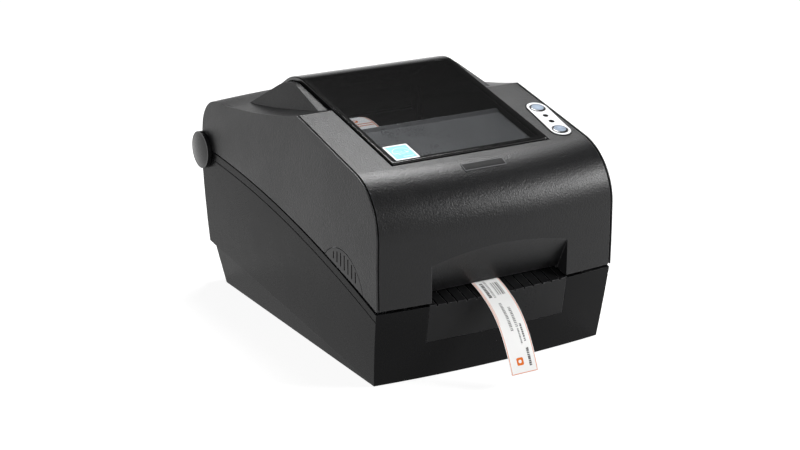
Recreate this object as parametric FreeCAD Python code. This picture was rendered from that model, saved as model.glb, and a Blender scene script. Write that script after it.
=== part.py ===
# Desktop thermal label printer: a clamshell housing whose top cover swings up on two hinge
# caps at the rear corners, over a bay that holds a label roll between sliding media guides.
#
# Millimetres.  +X is the printer's left-to-right seen from the front, +Y runs from the front
# to the back, +Z is up.  The shapes are drawn with y = 0 near the front face and z = 0 on the
# desk, and save() moves them back so that the origin is the centre of the whole footprint.
import FreeCAD
import Part
import math
import os
from FreeCAD import Vector

os.makedirs("parts", exist_ok=True)

# ---------------------------------------------------------------- driving dimensions
HALF_WIDTH = 107.0          # at the widest level of the barrel-shaped sides
SIDE_RADIUS = 1080.0        # curvature of both sides, seen from the front
SIDE_LEVEL = 92.0           # height of the widest level
WALL = 2.5                  # moulded wall thickness
CROWN = 6.3                 # how far the middle of the front stands ahead of its corners
FRONT_Y = -5.0              # front face of the cover on the centre line
SHOULDER_R = 47.0           # front shoulder between the front face and the deck
PEAK = (132.5, 184.0)       # crease where the front deck meets the rear deck
DECK_ANGLE = 12.66          # degrees, slope of the front deck and of the window
BASE_BOTTOM = 1.0           # the housing stands this far off the desk, on its feet
HINGE = (299.0, 115.0)      # cover hinge axis, as (y, z)
REAR_END = 315.0            # rearmost point, the edge of the hinge caps

WINDOW_HALF = 70.8          # half width of the smoked window
WINDOW_FRONT = 40.0
WINDOW_REAR = 252.0
WINDOW_T = 3.2
WINDOW_RISE = 1.8           # the window's face stands this far above the deck
WINDOW_GROOVE = 0.9         # gap round the window
HOOD_HALF = 61.5            # half width of the label exit
LIP = (9.5, 69.6)           # inner edge of the hood over the label exit

PLATEN = (27.0, 62.0)       # platen roller axis
PLATEN_R = 8.0
MODULE = 0.8                # drive gear module
ROLL = (212.0, 89.0)        # label roll axis
ROLL_R = 58.0
CORE_R = 15.0
CORE_BORE = 12.7
MEDIA_X = -5.5              # centre line of the media path
LABEL_W = 24.0
LABEL_T = 0.2
GUIDE_TRAVEL = 36.0
RACK_MODULE = 1.0
PINION_TEETH = 16

SLOPE = math.tan(math.radians(DECK_ANGLE))


# ---------------------------------------------------------------- drawing helpers
def vec(plane, a, b, depth=0.0):
    """A point of a drawing: plane 'yz' has x as its depth, 'xz' has y, 'xy' has z."""
    if plane == "yz":
        return Vector(depth, a, b)
    if plane == "xz":
        return Vector(a, depth, b)
    return Vector(a, b, depth)


def corner_arc(before, corner, after, radius):
    """Start, middle and end of the arc of this radius that rounds a corner."""
    into = (before - corner).normalize()
    out = (after - corner).normalize()
    half = into.getAngle(out) / 2
    reach = radius / math.tan(half)
    bisector = (into + out).normalize()
    middle = corner + bisector * (radius / math.sin(half) - radius)
    return corner + into * reach, middle, corner + out * reach


def outline(plane, corners, depth=0.0):
    """Closed wire through corners (a, b) or (a, b, radius).

    An entry ("via", a, b) between two corners bends the edge between them into an arc
    through that point."""
    points = []
    bends = {}
    for entry in corners:
        if entry[0] == "via":
            bends[len(points) - 1] = vec(plane, entry[1], entry[2], depth)
        else:
            radius = entry[2] if len(entry) > 2 else 0.0
            points.append((vec(plane, entry[0], entry[1], depth), radius))
    count = len(points)
    edges = []
    ends = []
    for i in range(count):
        point, radius = points[i]
        if radius:
            before = points[i - 1][0]
            after = points[(i + 1) % count][0]
            start, middle, end = corner_arc(before, point, after, radius)
            edges.append(Part.Arc(start, middle, end).toShape())
            ends.append((start, end))
        else:
            ends.append((point, point))
    for i in range(count):
        start = ends[i][1]
        end = ends[(i + 1) % count][0]
        if i in bends:
            edges.append(Part.Arc(start, bends[i], end).toShape())
        elif start.distanceToPoint(end) > 1e-6:
            edges.append(Part.LineSegment(start, end).toShape())
    return Part.Wire(Part.__sortEdges__(edges))


def prism(plane, corners, low, high):
    """Extrude an outline from depth low to depth high."""
    face = Part.Face(outline(plane, corners, low))
    return face.extrude(vec(plane, 0, 0, high - low))


def box(x0, x1, y0, y1, z0, z1):
    return Part.makeBox(x1 - x0, y1 - y0, z1 - z0, Vector(x0, y0, z0))


def rod_x(x0, x1, centre, radius):
    """A round bar along X about centre (y, z)."""
    return Part.makeCylinder(radius, x1 - x0, Vector(x0, centre[0], centre[1]), Vector(1, 0, 0))


def rod_z(x, y, z0, z1, radius):
    return Part.makeCylinder(radius, z1 - z0, Vector(x, y, z0), Vector(0, 0, 1))


def rod_y(x, z, y0, y1, radius):
    return Part.makeCylinder(radius, y1 - y0, Vector(x, y0, z), Vector(0, 1, 0))


def both_sides(shape):
    """The shape and its mirror image across the centre plane."""
    return [shape, mirrored(shape)]


def mirrored(shape):
    return shape.mirror(Vector(0, 0, 0), Vector(1, 0, 0))


def deck_z(y):
    """Height of the front deck's plane, which the window's plane continues."""
    return PEAK[1] + SLOPE * (y - PEAK[0])


def arc_height(start, middle, end, y):
    """Height at y of the arc through three points (y, z), on the side of its middle point."""
    (y0, z0), (y1, z1), (y2, z2) = start, middle, end
    a, b, c = y1 - y0, z1 - z0, (y1 ** 2 - y0 ** 2 + z1 ** 2 - z0 ** 2) / 2
    d, e, f = y2 - y0, z2 - z0, (y2 ** 2 - y0 ** 2 + z2 ** 2 - z0 ** 2) / 2
    det = a * e - b * d
    cy, cz = (c * e - b * f) / det, (a * f - c * d) / det
    radius = math.hypot(y1 - cy, z1 - cz)
    rise = math.sqrt(radius ** 2 - (y - cy) ** 2)
    return cz + rise if z1 > cz else cz - rise


def side_x(z, inset=0.0):
    """Half width of the housing at height z."""
    return HALF_WIDTH - (z - SIDE_LEVEL) ** 2 / (2 * SIDE_RADIUS) - inset


# ---------------------------------------------------------------- housing envelopes
FRONT_RADIUS = HALF_WIDTH ** 2 / (2 * CROWN)
FAR_FRONT = -40.0
FAR_REAR = 345.0
SWEEP = 16.0                # degrees either side, wide enough for the rear corners


def barrel(inset=0.0, front=FAR_FRONT, rear=FAR_REAR):
    """Everything between the two bulging sides."""
    low, mid, high = -20.0, SIDE_LEVEL, 210.0
    corners = [(-side_x(low, inset), low), (side_x(low, inset), low),
               ("via", side_x(mid, inset), mid), (side_x(high, inset), high),
               (-side_x(high, inset), high), ("via", -side_x(mid, inset), mid)]
    return prism("xz", corners, front, rear)


def turned(corners, axis_point, axis):
    """Sweep a centre-line section sideways about an upright axis far behind the front."""
    face = Part.Face(outline("yz", corners))
    face.rotate(axis_point, axis, -SWEEP)
    return face.revolve(axis_point, axis, 2 * SWEEP)


def cover_front(inset=0.0):
    """The crowned front and shoulder, turned about the deck's normal so the deck stays flat."""
    lean = math.radians(DECK_ANGLE)
    front = FRONT_Y + inset
    drop = inset / math.cos(lean)
    corners = [(front, 20.0), (front, deck_z(front) - drop, SHOULDER_R - inset),
               (FAR_REAR, deck_z(FAR_REAR) - drop), (FAR_REAR, 20.0)]
    axis = Vector(0, -math.sin(lean), math.cos(lean))
    point = Vector(0, front, 115) + Vector(0, math.cos(lean), math.sin(lean)) * FRONT_RADIUS
    return turned(corners, point, axis)


PARTING_FRONT = (2.5, 65.3)
PARTING_MID = (134.5, 99.3)
PARTING_REAR = (286.2, 117.8)
REAR_ROUND = (279.4, 161.3)
REAR_SAG = (206.0, 169.0)
REAR_EDGE = (296.4, 152.2)
REAR_FOOT = (302.6, 138.0)
FRONT_GAP = 3.0             # parting groove at the front
REAR_GAP = 1.2              # parting groove beside the hinge


def cover_side(inset=0.0, open_below=False):
    """Side section of the cover; inset gives the inner face of its wall."""
    t = inset
    foot = 30.0 if open_below else 0.0
    corners = [(FAR_FRONT, PARTING_FRONT[1] - foot),
               (PARTING_FRONT[0], PARTING_FRONT[1] - foot),
               ("via", PARTING_MID[0], PARTING_MID[1] - foot),
               (PARTING_REAR[0], PARTING_REAR[1] - foot),
               (303.6 - t, PARTING_REAR[1] + 1.0 - foot),
               (REAR_FOOT[0] - t, REAR_FOOT[1]),
               ("via", REAR_EDGE[0] - 0.7 * t, REAR_EDGE[1] - 0.7 * t),
               (REAR_ROUND[0], REAR_ROUND[1] - t),
               ("via", REAR_SAG[0], REAR_SAG[1] - t),
               (PEAK[0], PEAK[1] - t),
               (FAR_FRONT, deck_z(FAR_FRONT) - t / math.cos(math.radians(DECK_ANGLE)))]
    return corners


def cover_envelope(inset=0.0, open_below=False):
    solid = prism("yz", cover_side(inset, open_below), -120, 120)
    return solid.common(barrel(inset)).common(cover_front(inset))


# Window line: up the deck's slope to a rounded crown, then down to the rear deck.
CROWN_CORNER = (198.0, deck_z(198.0))
CROWN_R = 44.0
TAIL_SLOPE = 0.60


def hump_section(drop, front, floor):
    """Section of the raised part of the top, lowered by drop from the window's face."""
    top = CROWN_CORNER[1] - drop
    tail = CROWN_CORNER[0] + (top - floor) / TAIL_SLOPE
    radius = CROWN_R - drop
    return [(front, floor), (front, deck_z(front) - drop),
            (CROWN_CORNER[0], top, radius), (tail, floor)]


def base_front(inset=0.0):
    """Crowned front of the base, which leans back towards the desk."""
    corners = [(7.0 + inset, -5.0), ("via", 1.0 + inset, 32.0), (-3.9 + inset, 62.3),
               (-6.0 + inset, 130.0), (FAR_REAR, 130.0), (FAR_REAR, -5.0)]
    return turned(corners, Vector(0, FRONT_Y + FRONT_RADIUS, 0), Vector(0, 0, 1))


def rim(drop=0.0):
    """Corners of the base's top edge from front to back, lowered by drop."""
    return [(FAR_FRONT, PARTING_FRONT[1] - FRONT_GAP - drop),
            (PARTING_FRONT[0], PARTING_FRONT[1] - FRONT_GAP - drop),
            ("via", PARTING_MID[0], PARTING_MID[1] - 1.6 - drop),
            (PARTING_REAR[0], PARTING_REAR[1] - REAR_GAP - drop)]


STEP_Z = 33.0               # the rear of the base steps in below this height


def base_side(inset=0.0, drop=0.0, low=BASE_BOTTOM):
    t = inset
    return rim(drop) + [(303.6 - t, PARTING_REAR[1] - REAR_GAP - drop),
                        (302.8 - t, 96.0), (296.0 - t, STEP_Z + t),
                        (284.0 - t, STEP_Z - 1.5 + t), (272.0 - t, low), (FAR_FRONT, low)]


def base_envelope(inset=0.0, drop=0.0, low=BASE_BOTTOM):
    solid = prism("yz", base_side(inset, drop, low), -120, 120)
    return solid.common(barrel(inset)).common(base_front(inset))


# ---------------------------------------------------------------- gears
def gear_corners(teeth, module, turn=0.0, slack=0.12):
    """Straight-flanked teeth: outline corners in the gear's own plane."""
    pitch_r = teeth * module / 2
    tip_r = pitch_r + 0.9 * module
    root_r = pitch_r - 1.2 * module
    step = 2 * math.pi / teeth
    half_pitch = step / 4 - slack * module / pitch_r
    rise = 0.9 * module * math.tan(math.radians(20)) / pitch_r
    fall = 1.2 * module * math.tan(math.radians(20)) / pitch_r
    corners = []
    for i in range(teeth):
        middle = turn + i * step
        for radius, offset in ((root_r, -half_pitch - fall), (tip_r, -half_pitch + rise),
                               (tip_r, half_pitch - rise), (root_r, half_pitch + fall)):
            angle = middle + offset
            corners.append((radius * math.cos(angle), radius * math.sin(angle)))
    return corners


def gear_x(teeth, module, centre, x0, x1, bore, turn=0.0):
    """A gear with its axis along X about centre (y, z)."""
    corners = [(centre[0] + a, centre[1] + b) for a, b in gear_corners(teeth, module, turn)]
    return prism("yz", corners, x0, x1).cut(rod_x(x0 - 1, x1 + 1, centre, bore))


def save(name, shape):
    """Move a finished piece to the part's own frame and write it."""
    solids = shape if isinstance(shape, list) else [shape]
    moved = []
    for solid in solids:
        copy = solid.copy()
        copy.translate(Vector(0, -ORIGIN_Y, 0))
        moved.extend(copy.Solids)
    result = moved[0] if len(moved) == 1 else Part.makeCompound(moved)
    result.exportStep("parts/" + name + ".step")


# ---------------------------------------------------------------- label web and roll
# The strip falls ever more steeply from the platen: radius and fall angle at the end of each arc.
STRIP_ARCS = ((62.0, 22.5), (110.0, 30.0), (64.0, 56.0), (145.0, 68.0))
NIP = (PLATEN[0] - 2.0, PLATEN[1] + PLATEN_R + 0.1)


def bend(start, radius, fall0, fall1):
    """Middle and end of an arc that steepens from fall0 to fall1 degrees below level."""
    points = []
    for fall in ((fall0 + fall1) / 2, fall1):
        dy = radius * (math.sin(math.radians(fall)) - math.sin(math.radians(fall0)))
        dz = radius * (math.cos(math.radians(fall0)) - math.cos(math.radians(fall)))
        points.append((start[0] - dy, start[1] - dz))
    return points


def web_tangent(radius):
    """Where the web leaves the top of the roll, and its slope towards the platen."""
    dy = ROLL[0] - PLATEN[0]
    dz = ROLL[1] - NIP[1]
    reach = math.hypot(dy, dz)
    slope = math.atan2(dz, dy) + math.asin((radius) / reach)
    return (ROLL[0] - radius * math.sin(slope), ROLL[1] + radius * math.cos(slope)), slope


def raised(point, fall):
    """The point on the strip's upper face above this one, where it falls at this angle."""
    angle = math.radians(fall)
    return (point[0] - LABEL_T * math.sin(angle), point[1] + LABEL_T * math.cos(angle))


def make_label_strip():
    lift = 0.15
    (ty, tz), slope = web_tangent(ROLL_R + lift)
    foot_y = PLATEN[0] + 1.5
    bottom = [(ty, tz), (foot_y + 2.0, NIP[1] + 1.2), (foot_y, NIP[1] + 0.25), NIP]
    top = [(foot_y + 2.0, NIP[1] + 1.2 + LABEL_T), (foot_y, NIP[1] + 0.25 + LABEL_T),
           (NIP[0], NIP[1] + LABEL_T)]
    end, start_fall = NIP, 0.0
    for radius, fall in STRIP_ARCS:
        middle, end = bend(end, radius, start_fall, fall)
        bottom += [("via",) + middle, end]
        top += [("via",) + raised(middle, (start_fall + fall) / 2), raised(end, fall)]
        start_fall = fall
    tip_y = top[-1][0]
    above = [raised((ty, tz), -math.degrees(slope))] + top
    strip = prism("yz", bottom + above[::-1], MEDIA_X - LABEL_W / 2, MEDIA_X + LABEL_W / 2)
    return strip, tip_y


label_strip, STRIP_TIP_Y = make_label_strip()
ORIGIN_Y = (REAR_END + STRIP_TIP_Y) / 2

save("label_strip", label_strip)

# ---------------------------------------------------------------- base
INSERT_HALF = 62.4          # front insert that carries the exit deck
INSERT_LOW = 31.8
GAP = 0.4                   # clearance between neighbouring mouldings
EAR_R = 12.0
PIN_R = 4.0
PIN_FIT = 0.05              # radial clearance of a running fit
EAR_X = (99.8, 103.8)       # the cover's hinge ears stand inside the base's
BARREL_R = 8.0              # hinge barrel along the cover's rear edge
PLATE_T = 1.5               # steel bottom plate
PLATE_Z = 1.5
FOOT_R = 9.0
PORT_Z = (36.0, 68.0)       # connector recess in the rear wall
PORT_Y = 288.0
PORT_HALF = 86.0
PANEL_T = 1.2
SLOT_Z = (88.0, 95.0)       # fanfold media slot in the rear wall
SLOT_HALF = 56.0
BOSSES = [(97.0, 28.0), (97.0, 250.0)]
FACET_DEPTH = 1.3
SCREW_R = 1.6


def rim_band(top, bottom, depth):
    """Shallow band along both sides of the base, between two drops below its rim."""
    steps = []
    for drop in (top, bottom):
        end_z = PARTING_REAR[1] - REAR_GAP - drop
        steps.append(prism("yz", rim(drop) + [(340, end_z), (340, -5), (FAR_FRONT, -5)],
                           -120, 120))
    return steps[0].cut(steps[1]).cut(barrel(depth))


def lower_facet():
    """What is pared from the right side below a crease from the rear step to the front foot."""
    toe = Vector(side_x(BASE_BOTTOM), 6.0, BASE_BOTTOM)
    step = Vector(side_x(STEP_Z), 283.0, STEP_Z - 1)
    heel = Vector(side_x(BASE_BOTTOM) - FACET_DEPTH, 283.0, BASE_BOTTOM - 1)
    reach = 1.2
    corners = [toe, toe + (step - toe) * reach, toe + (heel - toe) * reach]
    face = Part.Face(Part.makePolygon(corners + [toe]))
    return face.extrude(Vector(20, 0, 0))


def make_base_housing():
    shell = base_envelope().cut(base_envelope(WALL, drop=-60.0, low=-20.0))
    ears = [rod_x(side_x(HINGE[1], WALL), HALF_WIDTH + 0.2, HINGE, EAR_R)]
    shell = shell.fuse([ears[0], mirrored(ears[0])])
    recess = box(-PORT_HALF, PORT_HALF, PORT_Y, 300, PORT_Z[0], PORT_Z[1])
    shell = shell.fuse(recess.common(base_envelope()))
    for x, y in BOSSES:
        boss = rod_z(x, y, PLATE_Z + PLATE_T, 24.0, 4.5).common(base_envelope(0.5))
        shell = shell.fuse([boss, mirrored(boss)])
    cuts = [box(-PORT_HALF + 2, PORT_HALF - 2, PORT_Y - 5, 320, PORT_Z[0] + 2, PORT_Z[1] - 2),
            box(-INSERT_HALF - GAP, INSERT_HALF + GAP, -30, 17.6, INSERT_LOW - GAP, 90),
            box(-SLOT_HALF, SLOT_HALF, 290, 320, SLOT_Z[0], SLOT_Z[1]),
            rod_x(-EAR_X[1] - GAP, EAR_X[1] + GAP, HINGE, BARREL_R + 1.0),
            rod_x(EAR_X[0] - GAP, EAR_X[1] + GAP, HINGE, EAR_R),
            rod_x(-EAR_X[1] - GAP, -EAR_X[0] + GAP, HINGE, EAR_R),
            rod_x(-120, 120, HINGE, PIN_R),
            rim_band(6.0, 6.9, 0.8), lower_facet(), mirrored(lower_facet())]
    for x, y in BOSSES:
        hole = rod_z(x, y, 0, 20, SCREW_R)
        cuts += [hole, mirrored(hole)]
    return shell.cut(cuts)


def make_bottom_plate():
    plate = base_envelope(WALL + GAP, low=-20.0)
    plate = plate.common(box(-120, 120, -20, 300, PLATE_Z, PLATE_Z + PLATE_T))
    cuts = []
    for row in range(2):
        for i in range(9):
            y = 110 + row * 60
            x = -64 + i * 16
            cuts.append(box(x - 2, x + 2, y, y + 34, 0, 5))
    for x, y in BOSSES:
        hole = rod_z(x, y, 0, 5, SCREW_R + 0.3)
        cuts += [hole, mirrored(hole)]
    return plate.cut(cuts)


def make_feet():
    feet = []
    for y in (40.0, 240.0):
        pad = rod_z(80, y, 0, PLATE_Z, FOOT_R)
        feet += both_sides(pad)
    return feet


def make_case_screws():
    screws = []
    for x, y in BOSSES:
        head = rod_z(x, y, 0.4, PLATE_Z, 3.0)
        screw = head.fuse(rod_z(x, y, PLATE_Z, 18.0, SCREW_R - 0.02)).removeSplitter()
        screws += both_sides(screw)
    return screws


# ---------------------------------------------------------------- inner frame
TUB = (149.0, 275.0, 27.0, 40.0)    # media bay: front, rear, floor, corner radius
TUB_HALF = 62.0
BAY_HALF = 64.0                     # half width of the front bay that holds the platen
DECK_DROP = 3.0                     # inner deck below the base's rim
CATCH_X = (86.5, 99.5)              # slots that the latch hooks drop through
CATCH_Y = (34.0, 56.0)
RACK_Z = (18.0, 22.0)
RACK_PITCH = PINION_TEETH * RACK_MODULE / 2
POST_Y = 2.4                        # thickness of the post between a guide and its rack
SHIELD_RISE = (2.8, 2.0)            # strips behind the parting gap stand this far above the rim
SHIELD_T = 2.0
SHIELD_X = 80.0                     # the front pair stands inboard of the release buttons
SHIELD_SPLIT = 100.0


def tub_section(grow):
    front, rear, floor, radius = TUB
    return [(front - grow, 150), (front - grow, floor - grow, radius + grow),
            (rear + grow, floor - grow, radius + grow), (rear + grow, 150)]


def rack_y(side):
    """Middle of the rack bar that the guide on this side drives."""
    return ROLL[0] + side * (RACK_PITCH + 2.6)


def under_rim():
    return base_envelope(WALL + GAP, drop=DECK_DROP)


def hinge_room():
    return rod_x(-120, 120, HINGE, EAR_R + 1.0)


def make_light_shields():
    """Strips along both sides of the deck that close the view through the parting gap."""
    inset = WALL + 2 * GAP
    front, rear = [base_envelope(inset, drop=-rise).cut(under_rim()) for rise in SHIELD_RISE]
    rear = rear.cut(barrel(inset + SHIELD_T)).common(box(-120, 120, SHIELD_SPLIT, 268, 20, 130))
    front = front.common(box(SHIELD_X, SHIELD_X + SHIELD_T, -20, SHIELD_SPLIT, 20, 130))
    return [rear.cut(hinge_room()), front, mirrored(front)]


def make_media_well():
    """Trough that the label roll lies in, hung in the deck, with slots for the guides' racks."""
    well = prism("yz", tub_section(WALL), -TUB_HALF - WALL, TUB_HALF + WALL).common(under_rim())
    cuts = [prism("yz", tub_section(0.0), -TUB_HALF, TUB_HALF), hinge_room()]
    for side in (-1, 1):
        start = MEDIA_X + side * (LABEL_W / 2 - 2)
        x0, x1 = sorted((start, start + side * (GUIDE_TRAVEL + 10)))
        y = rack_y(side)
        cuts.append(box(x0, x1, y - POST_Y / 2 - 0.6, y + POST_Y / 2 + 0.6, 10, 35))
    return well.cut(cuts)


def make_inner_frame():
    deck = under_rim().cut(base_envelope(WALL + GAP, drop=DECK_DROP + WALL))
    deck = deck.common(box(-120, 120, -20, 284, 20, 130))
    tray = prism("yz", [(19, 44), (43.5, 44), (43.5, 65.4), (57, 72.6), (57, 75.4),
                        (41, 67.2), (41, 46.5), (19, 46.5)], -BAY_HALF, BAY_HALF)
    deck = deck.cut(box(-BAY_HALF, BAY_HALF, -20, 56.5, 46.5, 120))
    cuts = [prism("yz", tub_section(WALL), -TUB_HALF - WALL, TUB_HALF + WALL), hinge_room()]
    for side in (-1, 1):
        x0, x1 = sorted((side * CATCH_X[0], side * CATCH_X[1]))
        cuts.append(box(x0, x1, CATCH_Y[0], CATCH_Y[1], 50, 120))
    cuts.append(box(-80, -BAY_HALF, PLATEN[0] - 11, PLATEN[0] + 11, 40, 76))
    cuts.append(box(-80, -BAY_HALF, PLATEN[0], IDLER[0] + 12, 40, IDLER[1] + 19))
    cuts.append(box(BAY_HALF, 70, PLATEN[0] - 11, PLATEN[0] + 11, 40, 76))
    return deck.fuse(tray).cut(cuts)


# ---------------------------------------------------------------- media guides and roll
GUIDE_T = 2.5
HUB_R = 12.2
HUB_L = 6.0


def rack_teeth(side, x0, count):
    """Rack bar along X whose teeth face the pinion between the two racks."""
    y = rack_y(side)
    pitch_y = ROLL[0] + side * RACK_PITCH
    tip = pitch_y - side * 0.9 * RACK_MODULE
    root = pitch_y + side * 1.2 * RACK_MODULE
    back = y + side * 1.6
    pitch = math.pi * RACK_MODULE
    corners = []
    slant = math.tan(math.radians(20)) * RACK_MODULE
    half = pitch / 4 - 0.12
    for i in range(count):
        middle = x0 + (i + 0.5) * pitch
        corners += [(middle - half - 1.2 * slant, root), (middle - half + 0.9 * slant, tip),
                    (middle + half - 0.9 * slant, tip), (middle + half + 1.2 * slant, root)]
    corners += [(x0 + count * pitch, root), (x0 + count * pitch, back), (x0, back), (x0, root)]
    return prism("xy", corners, RACK_Z[0], RACK_Z[1])


def make_media_guide(side):
    """Guide plate with a hub for the roll's core, a foot, and a rack below the bay floor."""
    inner = MEDIA_X + side * (LABEL_W / 2 + 0.3)
    outer = inner + side * GUIDE_T
    x0, x1 = sorted((inner, outer))
    cy, cz = ROLL
    plate = prism("yz", [(cy - 24, 27.4), (cy + 24, 27.4), (cy + 30, 70, 30), (cy + 17, 118, 14),
                         (cy - 17, 118, 14), (cy - 30, 70, 30)], x0, x1)
    window = prism("yz", [(cy - 13, 38, 4), (cy + 13, 38, 4), (cy + 17, 66, 4),
                          (cy - 17, 66, 4)], x0 - 1, x1 + 1)
    plate = plate.cut(window)
    h0, h1 = sorted((inner - side * HUB_L, outer))
    hub = rod_x(h0, h1, ROLL, HUB_R).cut(rod_x(h0 - 1, h1 + 1, ROLL, HUB_R - 2.2))
    f0, f1 = sorted((inner, inner + side * 8))
    foot = box(f0, f1, cy - 22, cy + 22, 27.4, 30.0)
    gusset = prism("xz", [(outer - side * 0.2, 29), (outer + side * 5, 29),
                          (outer - side * 0.2, 60)], cy - 20, cy - 17.6)
    gusset2 = gusset.copy()
    gusset2.translate(Vector(0, 37.6, 0))
    y = rack_y(side)
    post = box(x0, x1, y - POST_Y / 2, y + POST_Y / 2, RACK_Z[0], 29)
    pitch = math.pi * RACK_MODULE
    count = 19
    length = count * pitch
    near = outer if side < 0 else outer - length
    start = MEDIA_X + (round((near - MEDIA_X) / pitch) + 0.5) * pitch
    rack = rack_teeth(side, start, count)
    return plate.fuse([hub, foot, gusset, gusset2, post, rack]).removeSplitter()


def make_centring_pinion():
    corners = gear_corners(PINION_TEETH, RACK_MODULE, math.radians(90) + math.pi / PINION_TEETH)
    moved = [(MEDIA_X + a, ROLL[0] + b) for a, b in corners]
    gear = prism("xy", moved, RACK_Z[0] + 0.2, RACK_Z[1] - 0.2)
    return gear.cut(rod_z(MEDIA_X, ROLL[0], 10, 30, 3.0 + PIN_FIT))


def make_pinion_stud():
    stud = rod_z(MEDIA_X, ROLL[0], 17.0, TUB[2] - WALL, 3.0)
    return stud.fuse(rod_z(MEDIA_X, ROLL[0], 16.0, 17.9, 5.0)).removeSplitter()


def make_label_roll():
    half = LABEL_W / 2
    roll = rod_x(MEDIA_X - half, MEDIA_X + half, ROLL, ROLL_R)
    return roll.cut(rod_x(-60, 60, ROLL, CORE_R))


def make_roll_core():
    half = LABEL_W / 2
    core = rod_x(MEDIA_X - half, MEDIA_X + half, ROLL, CORE_R)
    return core.cut(rod_x(-60, 60, ROLL, CORE_BORE))


# ---------------------------------------------------------------- platen and drive
GEAR_X = (-74.0, -69.0)
PLATEN_TEETH, IDLER_TEETH, PINION_DRIVE_TEETH = 22, 40, 14
SHAFT_R = 3.0
PLATEN_HALF = 55.0
SIDE_PLATE_X = (64.5, 66.0)
MOTOR_SIZE = 42.0
MOTOR_LENGTH = 34.0


def gear_centre(start, teeth_a, teeth_b, angle):
    """Centre of the gear that meshes with the one at start, in this direction (degrees)."""
    reach = MODULE * (teeth_a + teeth_b) / 2
    return (start[0] + reach * math.cos(math.radians(angle)),
            start[1] + reach * math.sin(math.radians(angle)))


def meshed_turn(turn, teeth, driven_teeth, angle):
    """Turn of a driven gear whose teeth fall in the gaps of a gear turned by turn."""
    step = 2 * math.pi / teeth
    driven_step = 2 * math.pi / driven_teeth
    phase = (math.radians(angle) - turn) / step
    return math.radians(angle) + math.pi - driven_step * (0.5 - phase)


IDLER_ANGLE = -18.6
PINION_ANGLE = -46.0
IDLER = gear_centre(PLATEN, PLATEN_TEETH, IDLER_TEETH, IDLER_ANGLE)
PINION = gear_centre(IDLER, IDLER_TEETH, PINION_DRIVE_TEETH, PINION_ANGLE)
IDLER_TURN = meshed_turn(0.0, PLATEN_TEETH, IDLER_TEETH, IDLER_ANGLE)
PINION_TURN = meshed_turn(IDLER_TURN, IDLER_TEETH, PINION_DRIVE_TEETH, PINION_ANGLE)


def make_platen_shaft():
    shaft = rod_x(-76, 68.5, PLATEN, SHAFT_R).fuse(rod_x(-PLATEN_HALF, PLATEN_HALF, PLATEN, 4.5))
    return shaft.removeSplitter()


def make_platen_roller():
    tube = rod_x(-PLATEN_HALF, PLATEN_HALF, PLATEN, PLATEN_R)
    return tube.cut(rod_x(-60, 60, PLATEN, 4.5))


def make_platen_bushes():
    bush = rod_x(64.0, 67.0, PLATEN, 5.0).fuse(rod_x(62.8, 64.4, PLATEN, 6.4))
    bush = bush.cut(rod_x(60, 70, PLATEN, SHAFT_R + PIN_FIT)).removeSplitter()
    return both_sides(bush)


def make_drive_plate():
    """Steel plate that carries the left bush, the idler's stud and the motor."""
    y0 = 20.0
    top = PLATEN[1] + 6.5
    corners = [(y0, 48), (y0, top, 3), (36, top, 4), (PINION[0] + 24, 62.0, 4),
               (PINION[0] + 24, 6.0, 3), (PINION[0] - 22, 6.0, 6), (PINION[0] - 22, 40, 6)]
    plate = prism("yz", corners, -SIDE_PLATE_X[1], -SIDE_PLATE_X[0])
    cuts = [rod_x(-70, -60, PLATEN, 5.0), rod_x(-70, -60, PINION, 9.0)]
    stud = rod_x(-76, -SIDE_PLATE_X[0], IDLER, SHAFT_R)
    return plate.cut(cuts).fuse(stud).removeSplitter()


def make_bush_plate():
    top = PLATEN[1] + 6.5
    corners = [(20, 40), (20, top, 3), (35, top, 4), (36, 44, 4), (36, 40)]
    plate = prism("yz", corners, SIDE_PLATE_X[0], SIDE_PLATE_X[1])
    return plate.cut(rod_x(60, 70, PLATEN, 5.0))


def make_drive_motor():
    half = MOTOR_SIZE / 2
    y, z = PINION
    x1 = -SIDE_PLATE_X[0]
    body = prism("yz", [(y - half, z - half, 4), (y + half, z - half, 4),
                        (y + half, z + half, 4), (y - half, z + half, 4)], x1, x1 + MOTOR_LENGTH)
    for x in (x1 + 8, x1 + MOTOR_LENGTH - 9):
        ring = prism("yz", [(y - 30, z - 30), (y + 30, z - 30), (y + 30, z + 30),
                            (y - 30, z + 30)], x, x + 0.8)
        core = prism("yz", [(y - half + 0.8, z - half + 0.8, 3.4),
                            (y + half - 0.8, z - half + 0.8, 3.4),
                            (y + half - 0.8, z + half - 0.8, 3.4),
                            (y - half + 0.8, z + half - 0.8, 3.4)], x - 1, x + 2)
        body = body.cut(ring.cut(core))
    return body.cut(rod_x(x1 - 1, x1 + 20, PINION, 2.5 + PIN_FIT))


def make_motor_shaft():
    return rod_x(-76, -SIDE_PLATE_X[0] + 18, PINION, 2.5)


# ---------------------------------------------------------------- front insert
DECK_BACK = 17.2
DECK_TOP = ((-12.0, 60.1), (DECK_BACK, 68.3))   # upper face of the exit deck, front to back
RIB_PITCH = 8.6
RIB_GAP = 1.3               # groove between two ribs of the exit deck
RIB_COUNT = 14
BAR_TOOTH = 4.0


def deck_section(drop, front):
    """Section of the exit deck's upper layer, this thick."""
    (y0, z0), (y1, z1) = DECK_TOP
    return [(front, z0 - drop), (y1, z1 - drop), (y1, z1), (front, z0)]


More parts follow.
